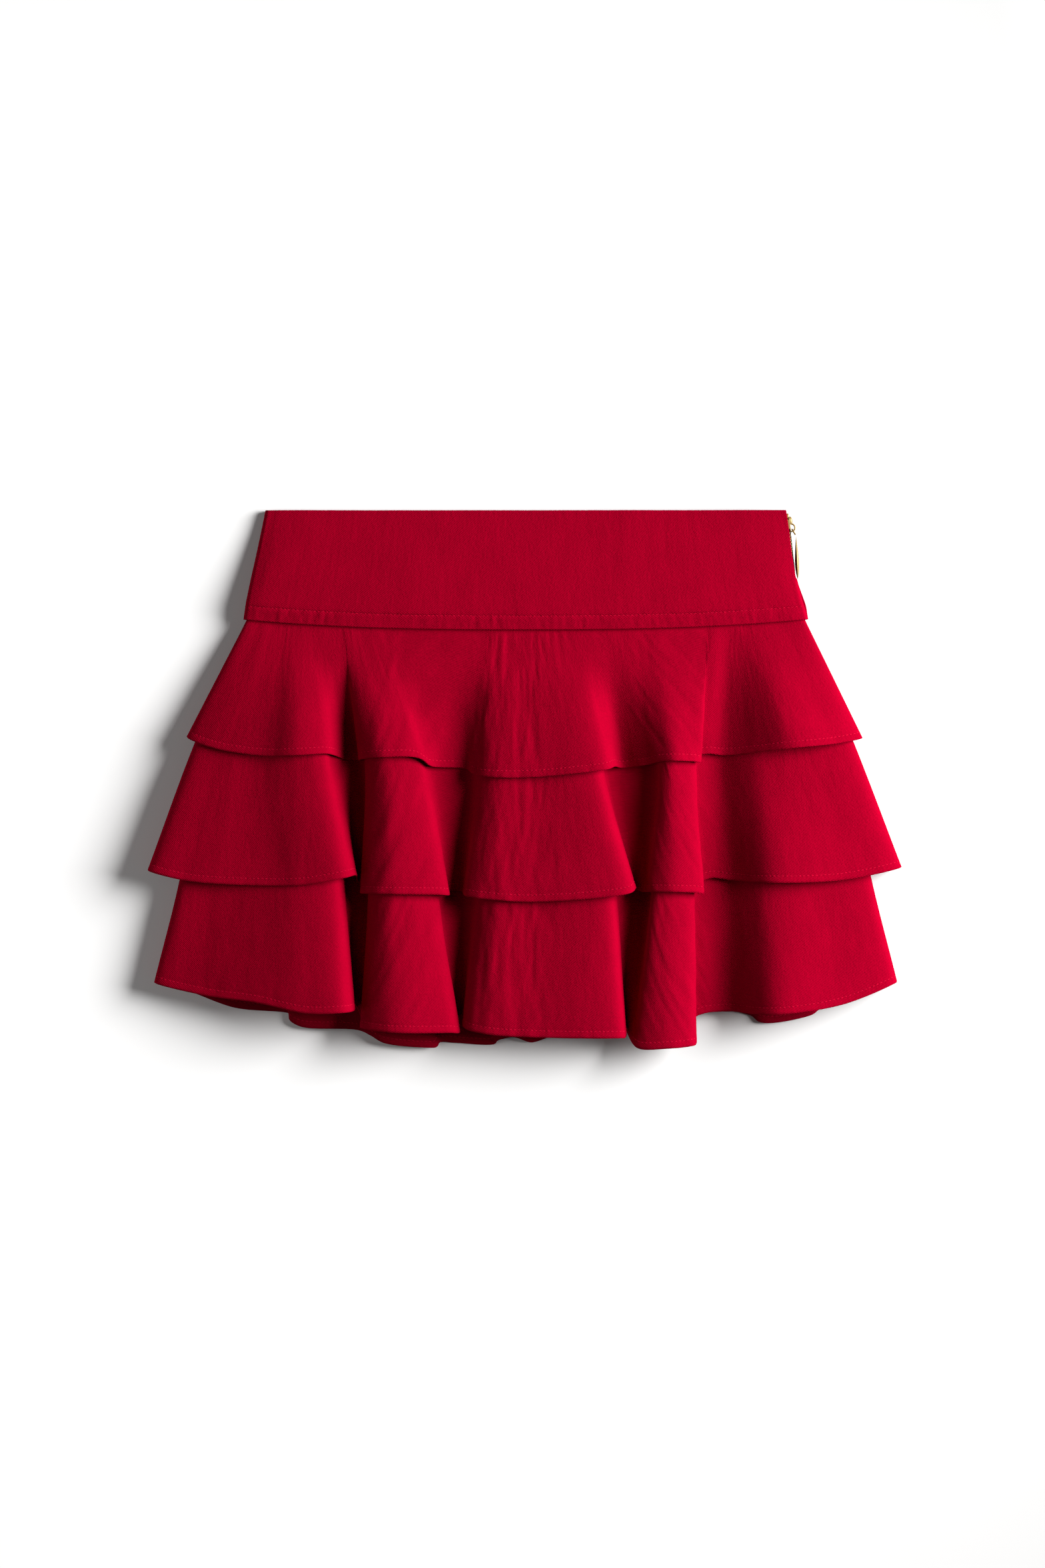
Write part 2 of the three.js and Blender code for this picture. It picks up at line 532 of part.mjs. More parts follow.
const STEPS_DOWN = [6, 8, 12];
const FRONT_STEPS_ACROSS = 2;
const BACK_STEPS_ACROSS = [4, 4, 2];
for (const tier of [1, 2, 3]) {
  const down = STEPS_DOWN[tier - 1];
  add(`tier_${tier}_front`, flounce(frontSections(tier), down, FRONT_STEPS_ACROSS), RED);
  add(`tier_${tier}_back`, flounce(backSections(tier), down, BACK_STEPS_ACROSS[tier - 1]), DEEP_RED);
}
add("yoke_front", yokeFront(), RED);
add("yoke_back", yokeBack(), DEEP_RED);
add("zip_tape", zipTape(), DEEP_RED);
add("zip_chain", zipChain(), GOLD);
add("zip_slider", zipSlider(), GOLD);
add("zip_link", zipLink(), GOLD);
add("zip_pull", zipPull(), GOLD);

export default skirt;
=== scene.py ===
"""The tiered ruffle skirt's looks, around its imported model. Metres, in the model's own frame.

The sewing is worked out in millimetres, from the same folds and levels as the model: fine cloth
surfaces with their wrinkles, hems and stitches, and a zip with separate teeth.
"""

import math
from functools import partial

import bpy
import numpy as np
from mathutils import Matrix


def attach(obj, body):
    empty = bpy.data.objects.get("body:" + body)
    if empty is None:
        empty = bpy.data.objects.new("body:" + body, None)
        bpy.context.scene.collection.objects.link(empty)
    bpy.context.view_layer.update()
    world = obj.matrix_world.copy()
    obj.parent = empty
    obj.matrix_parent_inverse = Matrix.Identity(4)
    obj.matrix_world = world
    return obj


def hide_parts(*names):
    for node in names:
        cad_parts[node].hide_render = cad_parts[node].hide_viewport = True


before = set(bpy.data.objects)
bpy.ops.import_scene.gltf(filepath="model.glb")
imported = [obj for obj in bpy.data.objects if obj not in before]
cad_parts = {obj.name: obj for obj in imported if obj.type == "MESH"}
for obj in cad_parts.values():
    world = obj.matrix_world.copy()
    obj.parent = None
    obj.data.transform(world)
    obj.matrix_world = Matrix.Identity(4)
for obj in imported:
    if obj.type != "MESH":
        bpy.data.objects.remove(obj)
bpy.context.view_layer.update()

MM = 0.001

# Cloth and stack, as in the model, in millimetres
CLOTH = 1.1
YOKE_CLOTH = 1.6
GAP = 0.3
PITCH = CLOTH + GAP
LAP = 10  # of a flounce into the yoke seam
LAP_NARROWS = 0.976
LAP_CLEARANCE = 2.5
SEAM_Y, SEAM_RISE, SEAM_POWER = 106.2, 7.2, 2.6  # at its middle, and how it rises to its ends
HALF_SEAM = 200
BAND, BAND_RAISE = 9.5, 0.4
BELLY = 0.06  # of flounce 1 half way down
FOLDS_GROW = ((0, 0.15), (22, 0.25), (45, 0.72), (68, 0.94), (90, 1))  # below the seam: share
TIER_NARROWS = 0.011
NEST, NEST_HIGH = 3.45, 2.95  # of flounce 3 under flounce 2, low down and high up
CLEAR_OF_BACK = 0.8
BACK_HEMS_Y = (4, -88, -188)
LIFT_STARTS = 0.2  # share of the back hem's laps at the hem above
SIDE_PROFILE = ((1, 0), (0.34, 0.7), (0.04, 5), (0, 11))  # a back panel's side: share up, inset
SIDE_DROP = 0.35
RIM_GAP = 0.8  # between the panels' middles at a side
SEAM_CLOSES = (1, 0.4, 0)  # by tier: how far a back panel's side stands up at the seam
SEAM_TURNS = ((0.93, 0.16), (0.5, 0.08), (0, 0))  # and a front panel's side turns down there
RIM_BULGE = 0.15
LOWEST_RIM = 0.05
HEM_STITCH = 4.8  # from a hem up to its line of stitches
STITCH_PITCH = 3.0
THREAD_LONG, THREAD_WIDE, THREAD_HIGH, THREAD_SINKS = 1.12, 0.34, 0.26, 0.02
RELIEF_FADES, RELIEF_FROM_EDGE = 0.04, 6  # as a share down the cloth, and from its sides
STEEP = 0.3
UV_MM = 100  # of cloth for a texture's unit

# The front's folds: name, seam, then x1, y1, z1, xu, zu, x2, y2, z2, xv, zv, x3, y3, z3
FRONT = [
    (
        "side_left", -196.5, -239, 30, 12.5, -231.5, 12.5,
        -266.5, -64, 12.6, -242.5, 12.5, -262, -144, 12.6,
    ),
    (
        "left_turn", -196.1, -237.5, 28.5, 15.8, -230, 16,
        -264.5, -65.5, 19, -241, 15.5, -260, -145, 14.2,
    ),
    ("a_left", -185, -218, 21.5, 22, -213.5, 19, -237, -72, 22.5, -218, 18, -225, -153, 19.8),
    ("a_mid", -171, -183, 16.5, 27.5, -185, 22.5, -185, -75, 26, -190, 22, -190, -157.5, 27.2),
    ("a_crest", -163, -160, 17, 34, -160, 27.5, -157, -74.5, 31, -159, 27.5, -153.5, -165, 34.3),
    (
        "a_right", -151.5, -140, 18, 29.5, -142, 25.5,
        -127, -69.5, 32, -135, 25.5, -128, -164.5, 34.5,
    ),
    ("a_lip", -144, -133.5, 16.5, 19, -137, 16.4, -119.5, -68, 20.5, -130, 15, -121.5, -163.5, 22),
    (
        "ab_valley", -135.5, -128.5, 14.5, 11, -127.5, 8.5,
        -118.5, -73, 8.2, -126.5, 6.7, -120, -160.5, 7.5,
    ),
    (
        "b_tuck", -130, -117, 13.5, 11.3, -113.5, 9.6,
        -113.5, -79.5, 10.3, -110.5, 8.5, -114, -173, 10,
    ),
    (
        "b_edge", -127.5, -116.5, 14, 19.5, -112.5, 16.5,
        -115.5, -80.5, 19.5, -110, 16.5, -115.5, -175.5, 19.5,
    ),
    ("b_face", -120.5, -101.5, 15.5, 30.5, -99.5, 26, -95.5, -81, 31, -97, 26, -95.5, -178.5, 31),
    ("b_ridge", -106.5, -75, 15, 26.5, -77, 21, -60, -81.5, 24, -69, 20, -52.5, -179, 24),
    ("b_lip", -97, -67, 9.5, 19.5, -70.5, 15, -54, -82, 18.5, -62.5, 14.5, -46.5, -179, 18),
    ("bc_left", -85.5, -59, 8.5, 14.5, -66, 11.6, -54.5, -79.5, 10, -61.5, 8, -47.5, -170, 9),
    ("bc_right", -45, -41.5, 7.5, 11, -38, 9, -45, -79, 9.5, -38.5, 7, -44, -166.5, 9),
    (
        "c_edge", -26.5, -35.5, 3.5, 18, -30, 18.5,
        -41.5, -82.5, 20.5, -32, 17.5, -42.5, -175.5, 19.5,
    ),
    ("c_left", -19, -25, 1.5, 25.5, -21, 23.5, -28, -84.5, 27, -21.5, 23.5, -29.5, -179.5, 26.5),
    ("c_mid", 2, 6, 1.5, 28.5, 6, 24, 6, -86.5, 28.5, 6, 24, 6, -182, 28.5),
    ("c_ridge", 32.5, 58, 7, 30.5, 50.5, 25.5, 73.5, -80.5, 30.5, 59, 25.5, 67, -182.5, 30.5),
    ("c_lip", 41, 63.5, 9, 20.5, 54.5, 15, 78, -77, 21.5, 63, 15, 71, -182, 21),
    ("cd_valley", 55.5, 69, 8, 10, 57.5, 7.9, 78, -77.5, 11, 66.5, 6.9, 71, -172.5, 8.4),
    ("d_edge", 70.5, 87.5, 10.5, 18, 91.5, 13, 83, -79.5, 15.5, 88, 8.2, 74, -182, 15.5),
    ("d_left", 81.5, 95.5, 12.5, 24.5, 96, 22, 89, -79.5, 24.5, 91, 22, 80, -190, 24.5),
    ("d_crest", 93, 105, 13, 29.5, 102, 25, 104, -79.5, 29.5, 100, 24.5, 100, -190, 29.5),
    (
        "d_right", 116.5, 119, 12.5, 25.5, 116.5, 21.5,
        120.5, -80, 25.5, 115, 21.5, 116.5, -188.5, 25.5,
    ),
    ("d_lip", 129.5, 124, 12, 22, 120.5, 18, 126, -80.5, 21.5, 119.5, 18, 120.5, -187, 21),
    ("d_tuck", 131.5, 122.5, 16.5, 17.5, 119.5, 13.6, 124, -73.5, 14, 118.5, 11, 119.5, -170, 11),
    ("e_left", 137, 130, 18, 15, 126.5, 11, 131.5, -70, 11.5, 125.5, 8.5, 126.5, -166, 9.5),
    ("e_valley", 145.5, 141, 17, 13, 138, 9.5, 146.5, -71.5, 12.5, 143, 8, 145, -164.5, 9),
    ("e_crest", 161.5, 189, 22, 33.5, 164, 19, 175, -73, 31.5, 170, 22, 175.5, -166, 32.5),
    ("e_right", 181.5, 218, 25, 28.5, 201, 21.6, 225, -71, 27.5, 210.5, 22.5, 224, -159, 27),
    ("right_turn", 197.6, 237, 28.5, 20, 229.5, 18.5, 264, -63, 20.5, 241.5, 18.5, 261, -144.5, 20),
    ("side_right", 198, 238.5, 29.5, 12.5, 231, 12.5, 266, -61.5, 12.6, 243, 12.5, 263, -143, 12.6),
]
BACK_HEM = [
    ("left_floor", -182, -244, -148.5, 0),
    ("left_plain", -163, -206.5, -162, 0),
    ("lap1_foot", -146, -166, -167, 0),
    ("lap1_edge", -143.5, -167, -170.5, 1.6),
    ("lap1_top", -138, -159, -175.5, 3.2),
    ("lap1_plain", -121, -118, -178, 3.2),
    ("lap2_edge", -113, -109, -182, 4.4),
    ("lap2_top", -108, -100, -187, 5.4),
    ("lap2_right", -92, -69, -190.3, 5.2),
    ("lap2_lip", -88, -62.5, -190, 3.4),
    ("lap2_foot", -83, -60.5, -186.8, 0.6),
    ("middle_left", -74, -48, -187.2, 0),
    ("lap3_foot", -50, -21.5, -188, 0),
    ("lap3_edge", -45, -19.5, -185.5, 2),
    ("lap3_top", -36, -8, -183, 3.8),
    ("lap3_lip", -24, 3, -186.5, 2.8),
    ("lap3_end", -18, 7, -186.5, 0.4),
    ("middle", 4, 24, -181, 0),
    ("middle_right", 60, 80, -176, 0),
    ("right_of_d", 122, 124, -163, 0),
    ("lap4_foot", 146, 160, -167.5, 0),
    ("lap4_edge", 151, 166, -172, 1.6),
    ("lap4_top", 155, 174, -173, 2.8),
    ("lap4_right", 166, 204, -167, 2.6),
    ("lap4_end", 170, 209.5, -163, 0.6),
    ("right_floor", 181, 240, -154, 0),
]
YOKE_FRONT_Z = YOKE_CLOTH + GAP + CLOTH / 2 + 5 * PITCH + CLOTH / 2 + GAP + YOKE_CLOTH / 2
SEAM_LEVEL = (YOKE_FRONT_Z,) * 3
# The yoke's levels from the waist down: y, sag, left, right, left_z, z, right_z, closed
RIGHT, RIGHT_Z = 3, 6
YOKE_LEVELS = (
    (190.8, 0, -183.3, 185.1, 4.4, 4.6, 9, 0),
    (174, 0.15, -186.5, 187.4, 4.8, 5.2, 9.2, 0),
    (156, 0.35, -190, 189.3, 6, 6.3, 9.5, 0),
    (139, 0.6, -193.4, 191.8, 8, 8.4, 10, 0),
    (SEAM_Y + LAP + LAP_CLEARANCE, 1, -197, 196.6, *SEAM_LEVEL, 1),
    (SEAM_Y + BAND, 1, -197.4, 197.6, *SEAM_LEVEL, 1),
    (SEAM_Y, 1, -198.8, 200.2, *SEAM_LEVEL, 1),
)
YOKE_TURNS = ((0, 0.97), (0.007, 0.1), (0.05, 0))  # from an edge inwards: share turned down
BACK_EDGE_SHOWS = 1.2  # past the front, where the side is closed
PUFF = (0.15, 0.6, 1, 1, 0.6, 0.5, 0)  # at each level, of what the front is raised by air inside
PUFF_SIDE, PUFF_EDGE, PUFF_MIDDLE = 2.5, 2, 1.5


def back_stack(tier):
    """Height of a flounce's middle at the seam, for a back panel and then for a front one"""
    return YOKE_CLOTH + GAP + CLOTH / 2 + (tier - 1) * PITCH


def front_stack(tier):
    return back_stack(3) + (4 - tier) * PITCH


MIDDLE_Z = (front_stack(1) + back_stack(1)) / 2


def mix(a, b, share):
    return a + (b - a) * share


def bump_at(x, middle, width):
    """A smooth hill of height 1"""
    return np.exp(-(((x - middle) / width) ** 2))


def noise(u, v, seed):
    """Smooth noise from -1 to 1 that changes over a distance of 1"""
    i, j = np.floor(u), np.floor(v)
    fu, fv = u - i, v - j
    fu, fv = fu * fu * (3 - 2 * fu), fv * fv * (3 - 2 * fv)
    i, j = i.astype(np.int64), j.astype(np.int64)

    def corner(a, b):
        h = (a * 374761393 + b * 668265263 + seed * 974711) & 0xFFFFFFFF
        h = ((h ^ (h >> 13)) * 1274126177) & 0xFFFFFFFF
        return ((h ^ (h >> 16)) & 0xFFFF) / 32767.5 - 1

    top = mix(corner(i, j), corner(i + 1, j), fu)
    low = mix(corner(i, j + 1), corner(i + 1, j + 1), fu)
    return mix(top, low, fv)


def spline(points, at):
    """A centripetal Catmull-Rom curve through the points, at parameters from 0 to 1"""
    points = np.asarray(points, float)
    first, last = 2 * points[0] - points[1], 2 * points[-1] - points[-2]
    ended = np.concatenate([first[None], points, last[None]])
    place = np.clip(np.asarray(at, float) * (len(points) - 1), 0, len(points) - 1 - 1e-9)
    k = np.floor(place).astype(int)
    w = (place - k).reshape((-1,) + (1,) * (points.ndim - 1))
    p0, p1, p2, p3 = (ended[k + j] for j in range(4))

    def step(a, b):
        return np.sqrt(np.linalg.norm(b - a, axis=-1, keepdims=True))

    d1 = step(p1, p2)
    d1 = np.where(d1 < 1e-4, 1, d1)
    d0 = step(p0, p1)
    d0 = np.where(d0 < 1e-4, d1, d0)
    d2 = step(p2, p3)
    d2 = np.where(d2 < 1e-4, d1, d2)
    t1 = ((p1 - p0) / d0 - (p2 - p0) / (d0 + d1) + (p2 - p1) / d1) * d1
    t2 = ((p2 - p1) / d1 - (p3 - p1) / (d1 + d2) + (p3 - p2) / d2) * d1
    return p1 + w * (t1 + w * (3 * (p2 - p1) - 2 * t1 - t2 + w * (2 * (p1 - p2) + t1 + t2)))


# The folds' cross sections, seam first and hem last
FOLDS = np.array([row[1:] for row in FRONT], float)
LAST = len(FOLDS) - 1


def seam_y(x):
    return SEAM_Y + SEAM_RISE * np.abs(x / HALF_SEAM) ** SEAM_POWER


def narrowed(tier, x):
    return x * (1 - (tier - 1) * TIER_NARROWS)


def section(x, y, z):
    """Points from three columns of the folds' table"""
    return np.stack([FOLDS[:, x], FOLDS[:, y], FOLDS[:, z]], axis=1)


def nested(points, distance, lowest):
    """The points moved inwards, square to the line of the folds"""
    before = points[np.maximum(np.arange(len(points)) - 1, 0)]
    after = points[np.minimum(np.arange(len(points)) + 1, len(points) - 1)]
    along = (after - before)[:, [0, 2]]
    along /= np.linalg.norm(along, axis=1, keepdims=True)
    z = np.maximum(points[:, 2] - along[:, 0] * distance, lowest)
    return np.stack([points[:, 0] + along[:, 1] * distance, points[:, 1], z], axis=1)


def front_sections(tier):
    seam = FOLDS[:, 0]
    turned = np.zeros(len(FOLDS))
    for k, share in enumerate(SEAM_TURNS[tier - 1]):
        turned[[k, LAST - k]] = share
    z = mix(front_stack(tier), MIDDLE_Z, turned)
    top = np.stack([narrowed(tier, seam), seam_y(seam), z], axis=1)
    if tier == 1:
        hem = section(1, 2, 3)
        half = (top + hem) / 2
        half[:, 2] += BELLY * (hem[:, 2] - top[:, 2])
        return [top, half, hem]
    covered = section(4, 2, 5)
    if tier == 2:
        return [top, covered, section(6, 7, 8)]
    quarter = spline(front_sections(2), [0.25])[0]
    levels = back_levels(3)
    lowest = [level[1] + PITCH + CLEAR_OF_BACK for level in levels]
    return [
        top,
        nested(quarter, NEST_HIGH, lowest[1]),
        nested(covered, NEST, lowest[2]),
        section(9, 7, 10),
        section(11, 12, 13),
    ]


def back_levels(tier):
    seam = (SEAM_Y, back_stack(tier))
    hems = [(y, CLOTH / 2 + (tier - 1 - k) * PITCH) for k, y in enumerate(BACK_HEMS_Y[:tier])]
    if tier == 2:
        return [seam, *hems]
    return [seam, ((seam[0] + hems[0][0]) / 2, (seam[1] + hems[0][1]) / 2), *hems]


def back_sections(tier):
    front, levels = front_sections(tier), back_levels(tier)
    plain = [("", f * HALF_SEAM, 0, 0, 0) for f in (-0.5, 0, 0.5)]
    found = []
    for k, (level_y, level_z) in enumerate(levels):
        closes = SEAM_CLOSES[tier - 1] if k == 0 else 1
        left, right = front[k][0], front[k][-1]

        def side(end):
            return [
                (
                    end[0] - math.copysign(inset, end[0]),
                    end[1] - inset * SIDE_DROP,
                    mix(level_z, end[2] - RIM_GAP, up * closes),
                )
                for up, inset in SIDE_PROFILE
            ]

        between = []
        for _, seam, x, y, lift in BACK_HEM if tier == 3 else plain:
            f = seam / HALF_SEAM
            end = left if f < 0 else right
            if k == 0:
                between.append((narrowed(tier, seam), seam_y(seam), level_z))
            elif tier == 3 and k == len(levels) - 1:
                between.append((x, y, level_z + lift))
            else:
                raised = LIFT_STARTS * lift if k == len(levels) - 2 else 0
                between.append((abs(f) * end[0], mix(level_y, end[1], f * f), level_z + raised))
        found.append(np.array([*side(left), *between, *side(right)[::-1]]))
    return found


# Meshes
def lengths_along(points):
    """Distance along a line of points, from 0"""
    steps = np.linalg.norm(np.diff(points, axis=0), axis=-1)
    return np.concatenate([np.zeros((1,) + steps.shape[1:]), np.cumsum(steps, axis=0)])


def even_columns(sections, count):
    """Parameters across that lie at even distances along the last section"""
    fine = np.linspace(0, 1, 3001)
    along = lengths_along(spline(sections[-1], fine))
    return np.interp(np.linspace(0, along[-1], count), along, fine)


def grown(rows):
    """The lines of the folds, which grow softly out of the seam; the side edges stay"""
    z = rows[..., 2]
    reach = 3
    count = 2 * reach + 1
    wide = np.pad(z, ((0, 0), (reach, reach)), "edge")
    even = sum(wide[:, k : k + z.shape[1]] for k in range(count)) / count
    below = seam_y(rows[..., 0]) - rows[..., 1]
    share = np.interp(below, [y for y, _ in FOLDS_GROW], [g for _, g in FOLDS_GROW])
    from_side = np.minimum(np.arange(len(FOLDS)), LAST - np.arange(len(FOLDS)))
    share = 1 - (1 - share) * np.clip((from_side - 2) / 3, 0, 1)
    return np.stack([rows[..., 0], rows[..., 1], even + (z - even) * share], axis=-1)


def surface(sections, down, columns, folded):
    """The cloth's middle, as rows down by columns across"""
    top = sections[0] * [LAP_NARROWS, 1, 1] + [0, LAP, 0]
    rows = spline(sections, down)
    if folded:
        rows = grown(rows)
    rows = np.concatenate([top[None], rows])
    grid = spline(rows.transpose(1, 0, 2), columns).transpose(1, 0, 2)
    grid[..., 2] = np.maximum(grid[..., 2], CLOTH / 2)
    return grid


def normals_of(grid):
    down, across = np.gradient(grid, axis=0), np.gradient(grid, axis=1)
    for edge in (0, -1):
        steep = np.abs(across[:, edge, 2]) > STEEP * np.linalg.norm(across[:, edge], axis=-1)
        across[steep, edge, :2] = 0
    normal = np.cross(down, across)
    return normal / np.linalg.norm(normal, axis=-1, keepdims=True)


def rim_of(rows, columns):
    """Grid places round the edge, in order"""
    top = [(0, j) for j in range(columns)]
    right = [(i, columns - 1) for i in range(1, rows)]
    low = [(rows - 1, j) for j in range(columns - 2, -1, -1)]
    left = [(i, 0) for i in range(rows - 2, 0, -1)]
    return np.array(top + right + low + left)


def shell(name, grid, thickness, uv=None):
    """A closed wall about a grid of points, in millimetres, with a rounded rim"""
    rows, columns = grid.shape[:2]
    normal = normals_of(grid)
    half = (np.broadcast_to(thickness, (rows, columns)) / 2)[..., None]
    ring = rim_of(rows, columns)
    i, j = ring[:, 0], ring[:, 1]
    inward = grid[np.clip(i, 1, rows - 2), np.clip(j, 1, columns - 2)] - grid[i, j]
    inward -= normal[i, j] * np.sum(inward * normal[i, j], axis=1, keepdims=True)
    inward /= np.linalg.norm(inward, axis=1, keepdims=True) + 1e-9
    rim = grid[i, j] - inward * half[i, j] * RIM_BULGE
    rim[:, 2] = np.maximum(rim[:, 2], LOWEST_RIM)
    points = np.concatenate(
        [(grid + normal * half).reshape(-1, 3), (grid - normal * half).reshape(-1, 3), rim]
    )
    count = rows * columns
    a = (np.arange(rows - 1)[:, None] * columns + np.arange(columns - 1)[None]).ravel()
    outer = np.stack([a, a + columns, a + columns + 1, a + 1], axis=1)
    inner = outer[:, ::-1] + count
    here = i * columns + j
    after = np.roll(here, -1)
    middle = 2 * count + np.arange(len(ring))
    middle_after = np.roll(middle, -1)
    faces = np.concatenate(
        [
            outer,
            inner,
            np.stack([here, after, middle_after, middle], axis=1),
            np.stack([middle, middle_after, after + count, here + count], axis=1),
        ]
    )
    if uv is None:
        uv = np.stack([lengths_along(grid.transpose(1, 0, 2)).T, lengths_along(grid)], axis=-1)
    flat = uv.reshape(-1, 2) / UV_MM
    where = np.concatenate([flat, flat, flat[here]])
    return mesh_object(name, points, faces, where)


def mesh_object(name, points, faces, uv=None):
    mesh = bpy.data.meshes.new(name)
    sizes = np.full(len(faces), faces.shape[1], np.int32)
    mesh.vertices.add(len(points))
    mesh.vertices.foreach_set("co", (points * MM).astype(np.float32).ravel())
    mesh.loops.add(faces.size)
    mesh.loops.foreach_set("vertex_index", faces.astype(np.int32).ravel())
    mesh.polygons.add(len(faces))
    starts = np.concatenate([[0], np.cumsum(sizes)[:-1]]).astype(np.int32)
    mesh.polygons.foreach_set("loop_start", starts)
    mesh.polygons.foreach_set("use_smooth", np.full(len(faces), True))
    mesh.update(calc_edges=True)
    if uv is not None:
        layer = mesh.uv_layers.new(name="UVMap")
        layer.data.foreach_set("uv", uv[faces.ravel()].astype(np.float32).ravel())
    mesh.validate()
    obj = bpy.data.objects.new(name, mesh)
    bpy.context.scene.collection.objects.link(obj)
    return obj


def dress(obj, material, body, slot, *nodes):
    """Give an object its material and body, and hide the model's nodes that it stands for. The slot
    is not used.
    """
    obj.data.materials.append(material)
    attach(obj, body)
    if nodes:
        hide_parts(*nodes)


def ring_faces(rings, sides, closed=False, inside_out=False):
    """Quads between rings of points, with the two ends shut unless the last meets the first"""
    faces = []
    for i in range(rings if closed else rings - 1):
        for j in range(sides):
            k, after = (j + 1) % sides, (i + 1) % rings
            quad = (i * sides + j, i * sides + k, after * sides + k, after * sides + j)
            faces.append((quad[0], quad[3], quad[2], quad[1]) if inside_out else quad)
    if not closed:
        for end, turn in ((0, -1), ((rings - 1) * sides, 1)):
            ring = [end + j for j in range(sides)][:: -turn if inside_out else turn]
            faces += [(ring[0], ring[j], ring[j + 1], ring[j + 2]) for j in range(1, sides - 2, 2)]
    return np.array(faces)


# Materials
def new_material(name, color, roughness, metallic=0.0):
    material = bpy.data.materials.new(name)
    material.use_nodes = True
    tree = material.node_tree
    shader = tree.nodes["Principled BSDF"]
    shader.inputs["Base Color"].default_value = (*color, 1)
    shader.inputs["Roughness"].default_value = roughness
    shader.inputs["Metallic"].default_value = metallic
    return material, tree, shader


def node(tree, kind, **inputs):
    made = tree.nodes.new(kind)
    for name, value in inputs.items():
        made.inputs[name.replace("_", " ")].default_value = value
    return made


def cloth_material(name, color, ribs, placed_by="UV"):
    """Crepe with a fine twill: its colour, grain, ribs and roughness all vary a little"""
    material, tree, shader = new_material(name, color, 0.8)
    shader.inputs["Specular IOR Level"].default_value = 0.0
    shader.inputs["Sheen Weight"].default_value = 0.02
    shader.inputs["Sheen Roughness"].default_value = 0.4
    shader.inputs["Sheen Tint"].default_value = (1, 0.02, 0.09, 1)
    place = node(tree, "ShaderNodeTexCoord")
    link = tree.links.new

    def texture(scale, detail):
        made = node(tree, "ShaderNodeTexNoise", Scale=scale, Detail=detail, Roughness=0.6)
        link(place.outputs[placed_by], made.inputs["Vector"])
        return made.outputs["Fac"]

    broad, grain, thread = texture(4, 3), texture(55, 4), texture(160, 2)
    tones = node(tree, "ShaderNodeValToRGB")
    tones.color_ramp.elements[0].position = 0.28
    tones.color_ramp.elements[1].position = 0.74
    tones.color_ramp.elements[0].color = (*[c * 0.84 for c in color], 1)
    tones.color_ramp.elements[1].color = (*[min(1, c * 1.13) for c in color], 1)
    both = node(tree, "ShaderNodeMath")
    both.operation = "MULTIPLY_ADD"
    both.inputs[1].default_value = 0.62
    link(grain, both.inputs[0])
    share = node(tree, "ShaderNodeMath")
    share.operation = "MULTIPLY"
    share.inputs[1].default_value = 0.38
    link(broad, share.inputs[0])
    link(share.outputs[0], both.inputs[2])
    link(both.outputs[0], tones.inputs["Fac"])
    link(tones.outputs["Color"], shader.inputs["Base Color"])

    turned = node(tree, "ShaderNodeMapping")
    turned.inputs["Rotation"].default_value = (0, 0, math.radians(58))
    link(place.outputs[placed_by], turned.inputs["Vector"])
    twill = node(tree, "ShaderNodeTexWave", Scale=ribs, Distortion=0.6, Detail=1.5)
    twill.inputs["Detail Scale"].default_value = 1.6
    link(turned.outputs["Vector"], twill.inputs["Vector"])
    level = node(tree, "ShaderNodeMapRange", To_Min=0.72, To_Max=0.9)
    link(grain, level.inputs["Value"])
    link(level.outputs["Result"], shader.inputs["Roughness"])
    normal = None
    for height, strength, distance in (
        (grain, 0.6, 0.0006),
        (thread, 0.5, 0.00026),
        (twill.outputs["Fac"], 0.5, 0.00022),
    ):
        relief = node(tree, "ShaderNodeBump", Strength=strength, Distance=distance)
        link(height, relief.inputs["Height"])
        if normal is not None:
            link(normal, relief.inputs["Normal"])
        normal = relief.outputs["Normal"]
    link(normal, shader.inputs["Normal"])
    return material


def gold_material():
    """Polished pale gold with faint scuffs"""
    material, tree, shader = new_material("pale_gold", (0.2, 0.13, 0.04), 0.4, 0.45)
    place = node(tree, "ShaderNodeTexCoord")
    scuffs = node(tree, "ShaderNodeTexNoise", Scale=900.0, Detail=3.0)
    tree.links.new(place.outputs["Object"], scuffs.inputs["Vector"])
    level = node(tree, "ShaderNodeMapRange", To_Min=0.34, To_Max=0.5)
    tree.links.new(scuffs.outputs["Fac"], level.inputs["Value"])
    tree.links.new(level.outputs["Result"], shader.inputs["Roughness"])
    relief = node(tree, "ShaderNodeBump", Strength=0.12, Distance=0.0001)
    tree.links.new(scuffs.outputs["Fac"], relief.inputs["Height"])
    tree.links.new(relief.outputs["Normal"], shader.inputs["Normal"])
    return material


RED_LINEAR = (0.205, 0.0002, 0.0095)
RED = cloth_material("red_crepe", RED_LINEAR, 30.0)
# The back panels, which lie beneath, get a darker copy of the same cloth as painted shade
SHADED_RED = cloth_material("red_crepe_back_painted_shade", tuple(0.86 * c for c in RED_LINEAR), 30.0)
# The thread is the cloth's red, lightened as a painted highlight on the raised stitches
THREAD = cloth_material("red_thread", (0.34, 0.003, 0.02), 90.0)
# The zip's tape is the red made nearly black: painted shade for the gap beside the teeth
SHADED_TAPE = cloth_material("zip_tape_painted_shade", tuple(0.03 * c for c in RED_LINEAR), 600.0, "Object")
GOLD = gold_material()


# Flounces
def ramp(x, low, high):
    t = np.clip((x - low) / (high - low), 0, 1)
    return t * t * (3 - 2 * t)


